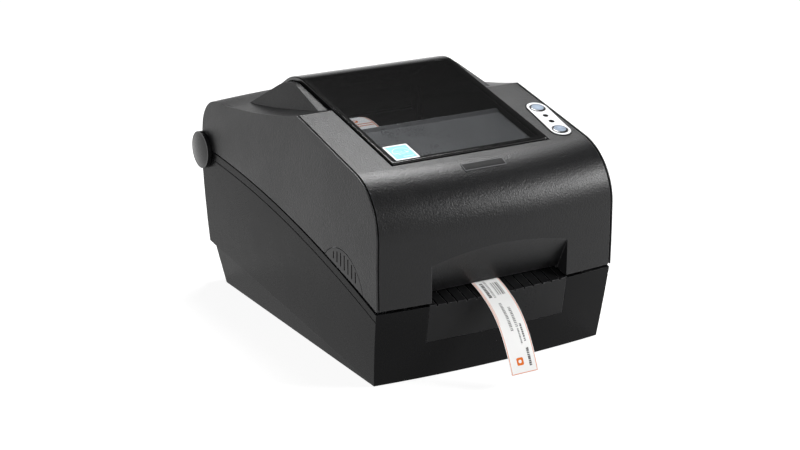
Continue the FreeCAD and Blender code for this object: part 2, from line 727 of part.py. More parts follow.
def make_exit_panel():
    """Front insert: its face follows the base's crowned front, its top is the ribbed deck."""
    half = INSERT_HALF
    skin = base_envelope(drop=-4.0).cut(base_envelope(WALL, drop=-60.0, low=-20.0))
    skin = skin.common(box(-half, half, -30, 17, INSERT_LOW, 61.4))
    deck = prism("yz", deck_section(2.6, DECK_TOP[0][0]), -half, half).common(base_front())
    flange = box(-half, half, 14.0, DECK_BACK, 50, 66.5)
    panel = skin.fuse([deck, flange])
    for i in range(RIB_COUNT):
        x = (i - (RIB_COUNT - 1) / 2) * RIB_PITCH
        groove = prism("yz", [(-20, 56.5), (15.0, 66.4), (15.0, 72), (-20, 72)],
                       x - RIB_GAP / 2, x + RIB_GAP / 2)
        panel = panel.cut(groove)
    return panel.removeSplitter()


def make_tear_bar():
    """Serrated steel strip along the back edge of the exit deck."""
    edge = DECK_TOP[1][1]
    half = 56.0
    corners = [(-half, edge - 3.4), (-half, edge)]
    for i in range(int(2 * half / BAR_TOOTH)):
        x = -half + i * BAR_TOOTH
        corners += [(x + BAR_TOOTH / 2, edge + 0.7), (x + BAR_TOOTH, edge)]
    corners += [(half, edge - 3.4)]
    return prism("xz", corners, DECK_BACK + 0.05, DECK_BACK + 0.65)


# ---------------------------------------------------------------- electronics and rear panel
BOARD_Z = 8.0


def make_main_board():
    board = box(-88, 88, 100, 264, BOARD_Z, BOARD_Z + 1.6)
    parts = [box(-30, -6, 150, 174, BOARD_Z + 1.6, BOARD_Z + 4), rod_z(50, 120, 9.6, 16, 5),
             rod_z(64, 120, 9.6, 16, 5), box(20, 42, 186, 196, 9.6, 13), box(-70, -50, 120, 134, 9.6, 15),
             box(56, 80, 150, 190, 9.6, 12)]
    posts = [rod_z(x, y, PLATE_Z + PLATE_T, BOARD_Z, 3) for x in (-82, 82) for y in (106, 258)]
    return board.fuse(parts + posts)


PORTS = {
    "power_jack": (52.0, 11.0, 12.0),
    "usb_port": (22.0, 12.2, 11.0),
    "network_port": (-8.0, 16.0, 13.6),
    "serial_port": (-50.0, 31.0, 12.6),
}
SWITCH_X = 74.0
PORT_MID = 52.0
PANEL_Y = PORT_Y + 0.2


def make_rear_panel():
    panel = box(-PORT_HALF + 2 + GAP, PORT_HALF - 2 - GAP, PANEL_Y, PANEL_Y + PANEL_T,
                PORT_Z[0] + 2 + GAP, PORT_Z[1] - 2 - GAP)
    cuts = [box(SWITCH_X - 7.2, SWITCH_X + 7.2, 280, 300, PORT_MID - 10.2, PORT_MID + 10.2)]
    for x, wide, high in PORTS.values():
        cuts.append(box(x - wide / 2 - 0.3, x + wide / 2 + 0.3, 280, 300,
                        PORT_MID - high / 2 - 0.3, PORT_MID + high / 2 + 0.3))
    return panel.cut(cuts)


def make_interface_board():
    return box(-80, 80, 278.6, 280.2, 38.5, 65.5)


def port_shell(name, back, front):
    x, wide, high = PORTS[name]
    return box(x - wide / 2, x + wide / 2, back, front, PORT_MID - high / 2, PORT_MID + high / 2)


def make_power_jack():
    body = port_shell("power_jack", 280.2, 291.5)
    x = PORTS["power_jack"][0]
    body = body.cut(rod_y(x, PORT_MID, 282.5, 300, 3.2))
    return body.fuse(rod_y(x, PORT_MID, 282.5, 290.5, 1.0))


def make_usb_port():
    body = port_shell("usb_port", 280.2, 292.5)
    x = PORTS["usb_port"][0]
    mouth = prism("xz", [(x - 4.3, PORT_MID - 4.1), (x + 4.3, PORT_MID - 4.1),
                         (x + 4.3, PORT_MID + 2.6), (x + 2.8, PORT_MID + 4.1),
                         (x - 2.8, PORT_MID + 4.1), (x - 4.3, PORT_MID + 2.6)], 282.0, 300)
    tongue = box(x - 2.8, x + 2.8, 282.0, 290.5, PORT_MID - 1.7, PORT_MID + 1.7)
    return body.cut(mouth).fuse(tongue)


def make_network_port():
    body = port_shell("network_port", 280.2, 292.5)
    x = PORTS["network_port"][0]
    z = PORT_MID
    mouth = prism("xz", [(x - 6.2, z + 4.2), (x - 6.2, z - 3.4), (x - 3.4, z - 3.4),
                         (x - 3.4, z - 5.2), (x + 3.4, z - 5.2), (x + 3.4, z - 3.4),
                         (x + 6.2, z - 3.4), (x + 6.2, z + 4.2)], 282.0, 300)
    return body.cut(mouth)


def make_serial_port():
    x = PORTS["serial_port"][0]
    z = PORT_MID
    body = port_shell("serial_port", 280.2, 289.4)
    shell = prism("xz", [(x - 9.2, z + 4.2, 1.5), (x + 9.2, z + 4.2, 1.5), (x + 7.8, z - 4.2, 1.5),
                         (x - 7.8, z - 4.2, 1.5)], 289.4, 294.6)
    hollow = prism("xz", [(x - 8.5, z + 3.5, 1.2), (x + 8.5, z + 3.5, 1.2),
                          (x + 7.2, z - 3.5, 1.2), (x - 7.2, z - 3.5, 1.2)], 288.4, 296)
    port = body.fuse(shell).cut(hollow)
    nuts = []
    for side in (-1, 1):
        nut = rod_y(x + side * 12.5, z, 289.4, 294.0, 2.5)
        nuts.append(nut.cut(rod_y(x + side * 12.5, z, 291, 300, 1.4)))
    return port.fuse(nuts)


def make_switch_frame():
    frame = box(SWITCH_X - 7, SWITCH_X + 7, 282.5, PANEL_Y + PANEL_T, PORT_MID - 10, PORT_MID + 10)
    bezel = box(SWITCH_X - 8, SWITCH_X + 8, PANEL_Y + PANEL_T, PANEL_Y + PANEL_T + 1.4,
                PORT_MID - 11, PORT_MID + 11)
    hollow = box(SWITCH_X - 5.2, SWITCH_X + 5.2, 283.5, 300, PORT_MID - 8.4, PORT_MID + 8.4)
    return frame.fuse(bezel).cut(hollow)


def make_power_rocker():
    y = PANEL_Y + PANEL_T
    pivot = rod_x(SWITCH_X - 5.1, SWITCH_X + 5.1, (y, PORT_MID), 1.0)
    face = prism("yz", [(y - 4.0, PORT_MID - 5), (y + 2.6, PORT_MID - 6.8), (y + 1.2, PORT_MID),
                        (y + 1.0, PORT_MID + 7.4), (y - 4.0, PORT_MID + 5)],
                 SWITCH_X - 4.8, SWITCH_X + 4.8)
    return face.fuse(pivot).removeSplitter()


save("base_housing", make_base_housing())
save("bottom_plate", make_bottom_plate())
save("rubber_feet", make_feet())
save("case_screws", make_case_screws())
save("inner_frame", make_inner_frame())
save("media_well", make_media_well())
save("light_shields", make_light_shields())
save("media_guide_left", make_media_guide(-1))
save("media_guide_right", make_media_guide(1))
save("centring_pinion", make_centring_pinion())
save("pinion_stud", make_pinion_stud())
save("label_roll", make_label_roll())
save("roll_core", make_roll_core())
save("platen_shaft", make_platen_shaft())
save("platen_roller", make_platen_roller())
save("platen_bushes", make_platen_bushes())
save("platen_gear", gear_x(PLATEN_TEETH, MODULE, PLATEN, GEAR_X[0], GEAR_X[1], SHAFT_R))
save("idler_gear", gear_x(IDLER_TEETH, MODULE, IDLER, GEAR_X[0], GEAR_X[1], SHAFT_R + PIN_FIT,
                          IDLER_TURN))
save("motor_pinion", gear_x(PINION_DRIVE_TEETH, MODULE, PINION, GEAR_X[0], GEAR_X[1], 2.5,
                            PINION_TURN))
save("motor_shaft", make_motor_shaft())
save("drive_plate", make_drive_plate())
save("bush_plate", make_bush_plate())
save("drive_motor", make_drive_motor())
save("exit_panel", make_exit_panel())
save("tear_bar", make_tear_bar())
save("main_board", make_main_board())
save("rear_panel", make_rear_panel())
save("interface_board", make_interface_board())
save("power_jack", make_power_jack())
save("usb_port", make_usb_port())
save("network_port", make_network_port())
save("serial_port", make_serial_port())
save("switch_frame", make_switch_frame())
save("power_rocker", make_power_rocker())

# ---------------------------------------------------------------- top cover
NOTCH = [(82.0, 60.0), (82.0, 86.8), ("via", 57.5, 98.6), (22.0, 72.6), (22.0, 50.0)]
GROOVE_IN = 0.9             # decorative groove, this far in from the side faces
GROOVE_W = 1.5
GROOVE_DEEP = 1.6
HUMP_DROP = 2.6
HUMP_HALF = 76.0            # half width of the hump's top edge
HUMP_FLARE = 0.36
RELEASE_GROOVES = 7
PILL_AT = (90.7, 69.0)      # middle of the control panel on the deck, as (x, y)
PILL_LENGTH = 57.6
PILL_WIDTH = 18.4
PILL_TURN = 4.9             # degrees, the panel follows the cover's edge
PILL_DEPTH = 1.0
LEDGE = 1.2                 # the control panel rests on a ledge this wide
REAR_CROWN = 5.0            # how far the middle of the rear deck stands above its sides
BUTTON_R = 6.1
BUTTON_AT = 18.9            # either side of the middle of the panel
LED_R = 2.1
LED_AT = 5.0
RING_GAP = 0.7              # dark gap round each button


def hump_flanks(inset=0.0):
    """Space between the hump's flared flanks."""
    top, low = 200.0, 120.0
    spread = HUMP_FLARE * (top - low)
    half = HUMP_HALF - inset - HUMP_FLARE * 6
    corners = [(-half, top), (half, top), (half + spread, low), (-half - spread, low)]
    return prism("xz", corners, 20, 300)


def hood_space(grow=0.0):
    """Space under the hood: its roof runs from an arc on the front face back to the lip."""
    half = HOOD_HALF + grow
    front, back = -12.0, LIP[0] + grow
    low = 40.0
    wide = outline("xz", [(-half, low), (half, low), (half, 113.1 + grow),
                          ("via", 0, 119.2 + grow), (-half, 113.1 + grow)], front)
    tight = outline("xz", [(-half, low), (half, low), (half, LIP[1] + grow),
                           ("via", 0, LIP[1] + 0.2 + grow), (-half, LIP[1] + grow)], back)
    return Part.makeLoft([wide, tight], True, True)


def on_deck(shape):
    """Place a piece drawn about the origin, +Z up, onto the control panel's spot."""
    placed = shape.copy()
    placed.rotate(Vector(0, 0, 0), Vector(0, 0, 1), -PILL_TURN)
    placed.rotate(Vector(0, 0, 0), Vector(1, 0, 0), DECK_ANGLE)
    placed.translate(Vector(PILL_AT[0], PILL_AT[1], deck_z(PILL_AT[1])))
    return placed


def pill(half_length, half_width, z0, z1):
    """A bar with round ends along Y."""
    straight = half_length - half_width
    corners = [(half_width, -straight), (half_width, straight),
               ("via", 0, half_length), (-half_width, straight),
               (-half_width, -straight), ("via", 0, -half_length)]
    return prism("xy", corners, z0, z1)


def rear_crown():
    """Gentle arch of the rear deck from side to side, faded out at its crease and rear edge."""
    shares = [(133.0, 0.02), (145.0, 0.45), (160.0, 0.8), (180.0, 1.0), (206.0, 1.0),
              (235.0, 1.0), (262.0, 1.0), (279.0, 0.95), (288.0, 0.75), (295.0, 0.45)]
    sections = []
    for y, share in shares:
        if y < REAR_ROUND[0]:
            z = arc_height(PEAK, REAR_SAG, REAR_ROUND, y)
        else:
            z = arc_height(REAR_ROUND, REAR_EDGE, REAR_FOOT, y)
        half = HALF_WIDTH - 1.0
        sections.append(outline("xz", [(-half, z - 8), (half, z - 8), (half, z - 0.05),
                                       ("via", 0, z + REAR_CROWN * share),
                                       (-half, z - 0.05)], y))
    return Part.makeLoft(sections, True, False).common(barrel())


def make_top_cover():
    outer = cover_envelope().fuse(rear_crown())
    hump = prism("yz", hump_section(HUMP_DROP, 128.0, 150.0), -110, 110).common(hump_flanks())
    outer = outer.fuse(hump)
    hollow = cover_envelope(WALL, open_below=True)
    hood = hood_space(WALL).common(outer).common(box(-70, 70, -20, LIP[0] + WALL, 60, 130))
    cover = outer.cut(hollow).fuse(hood)
    x0, x1 = EAR_X
    ear = rod_x(x0, x1, HINGE, BARREL_R + 3).fuse(prism("yz", [(288, 118), (302, 118), (301, 146),
                                                             (288, 146)], x0, x1))
    ear = ear.common(cover_envelope(0.3).fuse(rod_x(0, 120, HINGE, 20)))
    barrel_bar = rod_x(-x0, x0, HINGE, BARREL_R)
    web = box(-x0, x0, 299.5, 301.5, 115, 125)
    cover = cover.fuse([ear, mirrored(ear), barrel_bar, web])
    seat = WINDOW_T - WINDOW_RISE + 0.2
    pocket = prism("yz", [(WINDOW_FRONT - WINDOW_GROOVE, 230)] +
                   hump_section(seat, WINDOW_FRONT - WINDOW_GROOVE, 160)[1:3] +
                   [(WINDOW_REAR + GAP, deck_z(CROWN_CORNER[0]) - seat -
                     TAIL_SLOPE * (WINDOW_REAR + GAP - CROWN_CORNER[0])),
                    (WINDOW_REAR + GAP, 230)],
                   -WINDOW_HALF - WINDOW_GROOVE, WINDOW_HALF + WINDOW_GROOVE)
    through = box(-67, 67, 45, 246, 120, 230)
    relief = rod_x(EAR_X[1] + 0.3, 120, HINGE, EAR_R + 0.8)
    panel_seat = on_deck(pill(PILL_LENGTH / 2 + 0.55, PILL_WIDTH / 2 + 0.55, -PILL_DEPTH, 5))
    panel_hole = on_deck(pill(PILL_LENGTH / 2 - LEDGE, PILL_WIDTH / 2 - LEDGE, -20, 5))
    notch = prism("yz", NOTCH, 97, 115)
    cuts = [pocket, through, relief, mirrored(relief), panel_seat, panel_hole, notch,
            mirrored(notch), hood_space(), box(-60, 60, -20, 30, 40, LIP[1] - 0.1),
            rod_x(-120, 120, HINGE, PIN_R + PIN_FIT)]
    return cover.cut(cuts + [edge_groove()])


def edge_groove():
    """Shallow groove beside both edges of the deck and down the front corners."""
    shell = cover_envelope()
    core = prism("yz", cover_side(GROOVE_DEEP, True), -120, 120).common(cover_front(GROOVE_DEEP))
    strip = barrel(GROOVE_IN).cut(barrel(GROOVE_IN + GROOVE_W))
    return shell.cut(core).common(strip)


def make_window():
    """Smoked cover plate, domed at its edges, that runs up the slope and over the crown."""
    half = WINDOW_HALF
    top = prism("yz", hump_section(-WINDOW_RISE, WINDOW_FRONT, 150), -half, half)
    under = prism("yz", [(WINDOW_FRONT - 5, 100)] +
                  hump_section(WINDOW_T - WINDOW_RISE, WINDOW_FRONT - 5, 150)[1:], -120, 120)
    limit = prism("xy", [(-half, WINDOW_FRONT, 3), (half, WINDOW_FRONT, 3),
                         (half, WINDOW_REAR), (-half, WINDOW_REAR)], 100, 220)
    plate = top.cut(under).common(limit)
    rims = [edge for edge in plate.Edges if is_window_rim(edge)]
    return plate.makeFillet(1.1, rims)


def window_height(y):
    """Height of the window's upper face."""
    fall = math.degrees(math.atan(TAIL_SLOPE))
    reach = CROWN_R * math.tan(math.radians((DECK_ANGLE + fall) / 2))
    past = y - CROWN_CORNER[0]
    flat = min(deck_z(y), CROWN_CORNER[1] - TAIL_SLOPE * past)
    rounding = max(0.0, reach - abs(past)) ** 2 / (2 * CROWN_R)
    return flat + WINDOW_RISE - rounding


def is_window_rim(edge):
    """True for the edges round the window's upper face, all but the rear one."""
    middle = edge.valueAt((edge.FirstParameter + edge.LastParameter) / 2)
    on_top = middle.z > window_height(middle.y) - WINDOW_T / 2
    outside = abs(middle.x) > WINDOW_HALF - 1.0 or middle.y < WINDOW_FRONT + 1.0
    return on_top and outside and middle.y < WINDOW_REAR - 0.1


def make_release_button(side):
    """Side button flush with the cover, with finger grooves and a pusher behind it."""
    gap = 0.6
    shape = [(82.0 - gap, 60.0), (82.0 - gap, 86.8 - gap / 2),
             ("via", 57.5, 98.6 - gap), (22.0 + gap, 72.6 - gap / 2), (22.0 + gap, 50.0)]
    cap = prism("yz", shape, 95, 115).common(cover_envelope()).cut(barrel(WALL))
    for i in range(RELEASE_GROOVES):
        y = 33.0 + i * 5.7
        low = arc_height(PARTING_FRONT, PARTING_MID, PARTING_REAR, y) + 3.4
        high = arc_height(NOTCH[1], NOTCH[2][1:], NOTCH[3], y) - 3.2
        groove = box(100, 115, y - 0.75, y + 0.75, low, high).cut(barrel(1.2))
        cap = cap.cut(groove)
    pusher = box(99.3, 105.0, 43.5, 51.5, 83, 88)
    button = cap.fuse(pusher)
    return button if side > 0 else mirrored(button)


LATCH_PIVOT = (96.5, 99.0)
LATCH_Y = (44.0, 51.0)


def make_latch_hook(side):
    """Hook that hangs from a pivot in the cover; its toe reaches out below the inner deck."""
    x, z = LATCH_PIVOT
    y0, y1 = LATCH_Y
    arm = prism("xz", [(x - 2.0, z + 4, 2), (x + 2.0, z + 4, 2), (x + 2.0, 66.2),
                       (x + 2.6, 65.2), (x + 2.6, 63.2), (x - 0.4, 60.5), (x - 2.0, 60.5)],
                y0, y1)
    arm = arm.fuse(rod_y(x, z, y0, y1, 4.0)).cut(rod_y(x, z, y0 - 1, y1 + 1, 2.0 + PIN_FIT))
    arm = arm.removeSplitter()
    return arm if side > 0 else mirrored(arm)


def make_latch_bracket(side):
    """Clevis under the deck that carries the hook's pivot pin."""
    x, z = LATCH_PIVOT
    y0, y1 = LATCH_Y
    pieces = []
    for a, b in ((y0 - 3.4, y0 - 0.4), (y1 + 0.4, y1 + 3.4)):
        pieces.append(prism("xz", [(x - 5, z - 5, 4), (x + 5, z - 5, 4), (x + 5, z + 52),
                                   (x - 5, z + 52)], a, b))
    bridge = box(x - 5, x + 5, y0 - 3.4, y1 + 3.4, z + 8, z + 11)
    pin = rod_y(x, z, y0 - 3.4, y1 + 3.4, 2.0)
    bracket = pieces[0].fuse([pieces[1], bridge, pin])
    bracket = bracket.common(cover_envelope(WALL, open_below=True)).removeSplitter()
    return bracket if side > 0 else mirrored(bracket)


# ---------------------------------------------------------------- print mechanism in the cover
HEAD_PIVOT = (50.0, 96.0)


def make_head_carrier():
    """Moulded carrier under the window: two side plates and a shield in front of the roll."""
    def under(y, drop):
        return deck_z(y) - drop
    shield = prism("yz", [(46, under(46, 5.0)), (100, under(100, 5.0)), (104, under(104, 3.4)),
                          (106.5, under(106.5, 5.4)), (106, under(106, 40)),
                          (103.6, under(103.6, 40)), (103.6, under(103.6, 9)),
                          (46, under(46, 7.2))], -64, 64)
    plate = prism("yz", [(25, 78, 3), (52, 89.5, 6), (106, 120, 8), (106, under(106, 8)),
                         (46, under(46, 6)), (28, 132, 6)], 61.8, 64)
    front = prism("yz", [(46, under(46, 7.2)), (46, under(46, 5.0)), (43.8, under(46, 5.6)),
                         (28, 120), (28, 96), (30.2, 96), (30.2, 119.4)], -64, 64)
    carrier = shield.fuse(both_sides(plate) + [front]).cut(rod_x(-70, 70, HEAD_PIVOT, 2.5))
    for i in range(9):
        x = -48 + i * 12
        carrier = carrier.cut(box(x - 2, x + 2, 27, 31, 99, 116))
    return carrier.removeSplitter()


def above_nip(corners):
    """Outline corners given from the nip, the line where the platen grips the label."""
    return [(NIP[0] + a, NIP[1] + b) for a, b in corners]


def make_print_head():
    """Ceramic head bar that presses the label against the platen."""
    return prism("yz", above_nip([(-2.4, 1.9), (1.0, 0.9), (22.5, 11.9), (21.4, 14.1),
                                  (-2.4, 3.5)]), -54, 54)


def make_head_heatsink():
    block = prism("yz", above_nip([(-2.4, 3.6), (21.3, 14.3), (18.2, 20.9), (-1.0, 12.3)]),
                  -56, 56)
    cuts = []
    for i in range(5):
        a = 1.6 + i * 3.6
        b = 9.9 + i * 1.62
        cuts.append(prism("yz", above_nip([(a, b), (a + 1.7, b + 0.76), (a - 2.4, b + 12),
                                           (a - 4.1, b + 11)]), -58, 58))
    return block.cut(cuts)


def make_head_pivot():
    """Steel rod across the carrier on which the head rocks."""
    return rod_x(-66.5, 66.5, HEAD_PIVOT, 2.5)


def make_control_panel():
    plate = pill(PILL_LENGTH / 2, PILL_WIDTH / 2, -PILL_DEPTH + 0.02, 0.6)
    cuts = []
    for side in (-1, 1):
        cuts.append(rod_z(0, side * BUTTON_AT, -5, 5, BUTTON_R + RING_GAP))
        cuts.append(rod_z(0, side * LED_AT, -5, 5, LED_R + 0.02))
    return on_deck(plate.cut(cuts))


def make_panel_button(side):
    """Domed round button with a flange that keeps it behind the panel."""
    y = side * BUTTON_AT
    body = Part.makeCylinder(BUTTON_R, 3.4, Vector(0, y, -2.2))
    dome = Part.makeSphere(22.0, Vector(0, y, 1.9 - 22.0))
    body = body.common(dome)
    flange = Part.makeCylinder(BUTTON_R + RING_GAP + 0.8, 1.8, Vector(0, y, -3.9))
    stem = Part.makeCylinder(2.0, 3.0, Vector(0, y, -6.8))
    return on_deck(body.fuse([flange, stem]).removeSplitter())


def make_leds():
    lights = []
    for side in (-1, 1):
        lamp = Part.makeCylinder(LED_R, 6.4, Vector(0, side * LED_AT, -6.0))
        lamp = lamp.common(Part.makeSphere(6.0, Vector(0, side * LED_AT, 0.85 - 6.0)).fuse(
            Part.makeCylinder(LED_R, 6.0, Vector(0, side * LED_AT, -6.2))))
        lights.append(on_deck(lamp))
    return lights


def make_panel_board():
    board = pill(PILL_LENGTH / 2 - 3.5, 6.2, -10.4, -8.8)
    for side in (-1, 1):
        switch = Part.makeBox(6, 6, 0.6, Vector(-3, side * BUTTON_AT - 3, -8.8))
        board = board.fuse(switch)
    return on_deck(board.removeSplitter())


def make_hinge_cap(side):
    """Round cap over the hinge, domed outside, with the hinge pin on its back."""
    x = HALF_WIDTH + 0.3
    disc = rod_x(x, x + 3.6, HINGE, REAR_END - HINGE[0])
    dome_r = 62.0
    top = x + 5.4
    dome = Part.makeSphere(dome_r, Vector(top - dome_r, HINGE[0], HINGE[1]))
    cap = rod_x(x, x + 6, HINGE, REAR_END - HINGE[0]).common(dome).fuse(disc)
    pin = rod_x(EAR_X[0] - 8.0, x + 1, HINGE, PIN_R)
    cap = cap.fuse(pin).removeSplitter()
    return cap if side > 0 else mirrored(cap)


save("top_cover", make_top_cover())
save("window", make_window())
save("release_button_left", make_release_button(-1))
save("release_button_right", make_release_button(1))
save("latch_hook_left", make_latch_hook(-1))
save("latch_hook_right", make_latch_hook(1))
save("latch_bracket_left", make_latch_bracket(-1))
save("latch_bracket_right", make_latch_bracket(1))
save("head_carrier", make_head_carrier())
save("print_head", make_print_head())
save("head_heatsink", make_head_heatsink())
save("head_pivot", make_head_pivot())
save("control_panel", make_control_panel())
save("feed_button", make_panel_button(-1))
save("pause_button", make_panel_button(1))
save("status_lights", make_leds())
save("panel_board", make_panel_board())
save("hinge_cap_left", make_hinge_cap(-1))
save("hinge_cap_right", make_hinge_cap(1))
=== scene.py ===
"""Looks of the thermal label printer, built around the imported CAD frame. Metres, +Z up, front at -Y."""

import math

import bmesh
import bpy
from mathutils import Matrix, Vector
from mathutils.bvhtree import BVHTree


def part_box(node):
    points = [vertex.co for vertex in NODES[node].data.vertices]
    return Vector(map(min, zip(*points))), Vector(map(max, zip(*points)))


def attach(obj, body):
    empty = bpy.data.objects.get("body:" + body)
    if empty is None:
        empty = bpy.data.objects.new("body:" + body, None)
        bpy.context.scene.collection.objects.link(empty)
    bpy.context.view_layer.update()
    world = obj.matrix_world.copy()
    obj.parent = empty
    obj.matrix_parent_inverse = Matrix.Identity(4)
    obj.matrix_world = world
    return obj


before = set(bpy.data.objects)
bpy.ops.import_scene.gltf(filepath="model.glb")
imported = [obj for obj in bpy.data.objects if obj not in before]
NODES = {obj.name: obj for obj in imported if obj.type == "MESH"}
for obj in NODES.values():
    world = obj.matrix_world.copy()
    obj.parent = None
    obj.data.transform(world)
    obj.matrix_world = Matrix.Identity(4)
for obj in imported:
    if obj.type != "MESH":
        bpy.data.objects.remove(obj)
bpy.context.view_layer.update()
MM = 0.001


def middle(node):
    """Middle of a node's box in the row frame."""
    low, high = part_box(node)
    return (low + high) / 2


# millimetre places count y from the foot of the front face, 27 mm ahead of the platen's axis
PLATEN_Y = 27.0
Y_FRONT = middle("platen_shaft").y - PLATEN_Y * MM


def at(x, y, z):
    """Point in the row frame from millimetres counted from the front face's foot and the desk."""
    return Vector((x * MM, y * MM + Y_FRONT, z * MM))


# ---------------------------------------------------------------- node helpers
class Tree:
    """A node tree with short calls for the nodes used here."""

    def __init__(self, tree):
        self.tree = tree

    def new(self, kind, **settings):
        node = self.tree.nodes.new("ShaderNode" + kind)
        for key, value in settings.items():
            setattr(node, key, value)
        return node

    def feed(self, socket, value):
        """Link an output to a socket, or set the socket to a constant."""
        if isinstance(value, bpy.types.NodeSocket):
            self.tree.links.new(value, socket)
        else:
            socket.default_value = value

    def math(self, operation, a, b=0.0):
        node = self.new("Math", operation=operation)
        self.feed(node.inputs[0], a)
        self.feed(node.inputs[1], b)
        return node.outputs[0]

    def add(self, a, b):
        return self.math("ADD", a, b)

    def minus(self, a, b):
        return self.math("SUBTRACT", a, b)

    def times(self, a, b):
        return self.math("MULTIPLY", a, b)

    def larger(self, a, b):
        return self.math("MAXIMUM", a, b)

    def gap(self, a, b):
        """Distance between two numbers."""
        return self.math("ABSOLUTE", self.minus(a, b))

    def hypot(self, a, b):
        return self.math("SQRT", self.add(self.math("POWER", a, 2.0), self.math("POWER", b, 2.0)))

    def ramp(self, value, low, high, out_low=0.0, out_high=1.0, smooth=False):
        node = self.new("MapRange", interpolation_type="SMOOTHSTEP" if smooth else "LINEAR")
        self.feed(node.inputs["Value"], value)
        for key, number in (("From Min", low), ("From Max", high), ("To Min", out_low),
                            ("To Max", out_high)):
            node.inputs[key].default_value = number
        return node.outputs["Result"]

    def seen(self):
        """1 for camera, mirror and see-through rays, 0 for light that falls on something."""
        path = self.new("LightPath").outputs
        return self.larger(path["Is Camera Ray"],
                           self.larger(path["Is Transmission Ray"], path["Is Glossy Ray"]))


class Nodes(Tree):
    """A new material: its shader's inputs are set with give()."""

    def __init__(self, name):
        self.material = bpy.data.materials.new(name)
        self.material.use_nodes = True
        super().__init__(self.material.node_tree)
        self.shader = self.tree.nodes["Principled BSDF"]
        self.output = self.tree.nodes["Material Output"]

    def give(self, socket, value):
        self.feed(self.shader.inputs[socket], value)

    def mix(self, share, a, b):
        node = self.new("Mix", data_type="RGBA")
        self.feed(node.inputs["Factor"], share)
        self.feed(node.inputs[6], a)
        self.feed(node.inputs[7], b)
        return node.outputs[2]

    def blend(self, share, a, b):
        """Mixes two shaders."""
        node = self.new("MixShader")
        self.feed(node.inputs[0], share)
        self.feed(node.inputs[1], a)
        self.feed(node.inputs[2], b)
        return node.outputs[0]

    def vector(self, operation, a, b=(0.0, 0.0, 0.0)):
        node = self.new("VectorMath", operation=operation)
        self.feed(node.inputs[0], a)
        self.feed(node.inputs[1], b)
        return node.outputs

    def shaded(self, colour, tone):
        """A colour, made lighter or darker by a tone about 1."""
        node = self.new("VectorMath", operation="SCALE")
        node.inputs[0].default_value = colour[:3]
        self.feed(node.inputs["Scale"], tone)
        return node.outputs[0]

    def coords(self):
        return self.new("TexCoord").outputs["Object"]

    def place(self):
        """X, Y, Z in the row frame (Y counted from the front face's foot), in millimetres."""
        split = self.new("SeparateXYZ")
        self.feed(split.inputs[0], self.coords())
        x, y, z = split.outputs
        return [self.times(part, 1 / MM) for part in (x, self.minus(y, Y_FRONT), z)]

    def from_point(self, centre):
        """Vector from a fixed point of the row frame to the shaded point."""
        return self.vector("SUBTRACT", self.coords(), centre)[0]

    def along(self, vector, direction):
        return self.vector("DOT_PRODUCT", vector, direction)["Value"]

    def noise(self, scale, detail=2.0, roughness=0.5, seed=0.0):
        """Noise by object coordinates; scale is its frequency per metre."""
        node = self.new("TexNoise", noise_dimensions="4D")
        self.feed(node.inputs["Vector"], self.coords())
        node.inputs["Scale"].default_value = scale
        node.inputs["Detail"].default_value = detail
        node.inputs["Roughness"].default_value = roughness
        node.inputs["W"].default_value = seed
        return node.outputs["Fac"]

    def patches(self, low, high, scale, detail=2.0, roughness=0.5, seed=0.0):
        """Noise that wanders between two values."""
        return self.ramp(self.noise(scale, detail, roughness, seed), 0.3, 0.7, low, high)

    def cells(self, scale, smooth):
        node = self.new("TexVoronoi", feature="SMOOTH_F1")
        self.feed(node.inputs["Vector"], self.coords())
        node.inputs["Scale"].default_value = scale
        node.inputs["Smoothness"].default_value = smooth
        return node.outputs["Distance"]

    def soft_edge(self, radius):
        """Normal rounded over an edge, and how much of an edge it is (0 flat, about 1 on it)."""
        bevel = self.new("Bevel", samples=4)
        bevel.inputs["Radius"].default_value = radius
        turned = self.along(bevel.outputs[0], self.new("NewGeometry").outputs["Normal"])
        return bevel.outputs[0], self.ramp(turned, 0.995, 0.8)

    def bump(self, height, strength, distance, normal=None):
        node = self.new("Bump")
        node.inputs["Strength"].default_value = strength
        node.inputs["Distance"].default_value = distance
        self.feed(node.inputs["Height"], height)
        if normal is not None:
            self.feed(node.inputs["Normal"], normal)
        return node.outputs[0]

    def box_mask(self, u, v, u0, u1, v0, v1, soft):
        """1 inside the box u0..u1, v0..v1, with a soft border."""
        du = self.minus(self.gap(u, (u0 + u1) / 2), (u1 - u0) / 2)
        dv = self.minus(self.gap(v, (v0 + v1) / 2), (v1 - v0) / 2)
        return self.ramp(self.larger(du, dv), -soft, soft, 1.0, 0.0)


def rgb(value, g=None, b=None):
    """Linear colour from display values 0-255."""
    parts = (value, value if g is None else g, value if b is None else b)
    line = [(c / 255 / 12.92) if c / 255 <= 0.04045 else ((c / 255 + 0.055) / 1.055) ** 2.4
            for c in parts]
    return (*line, 1.0)


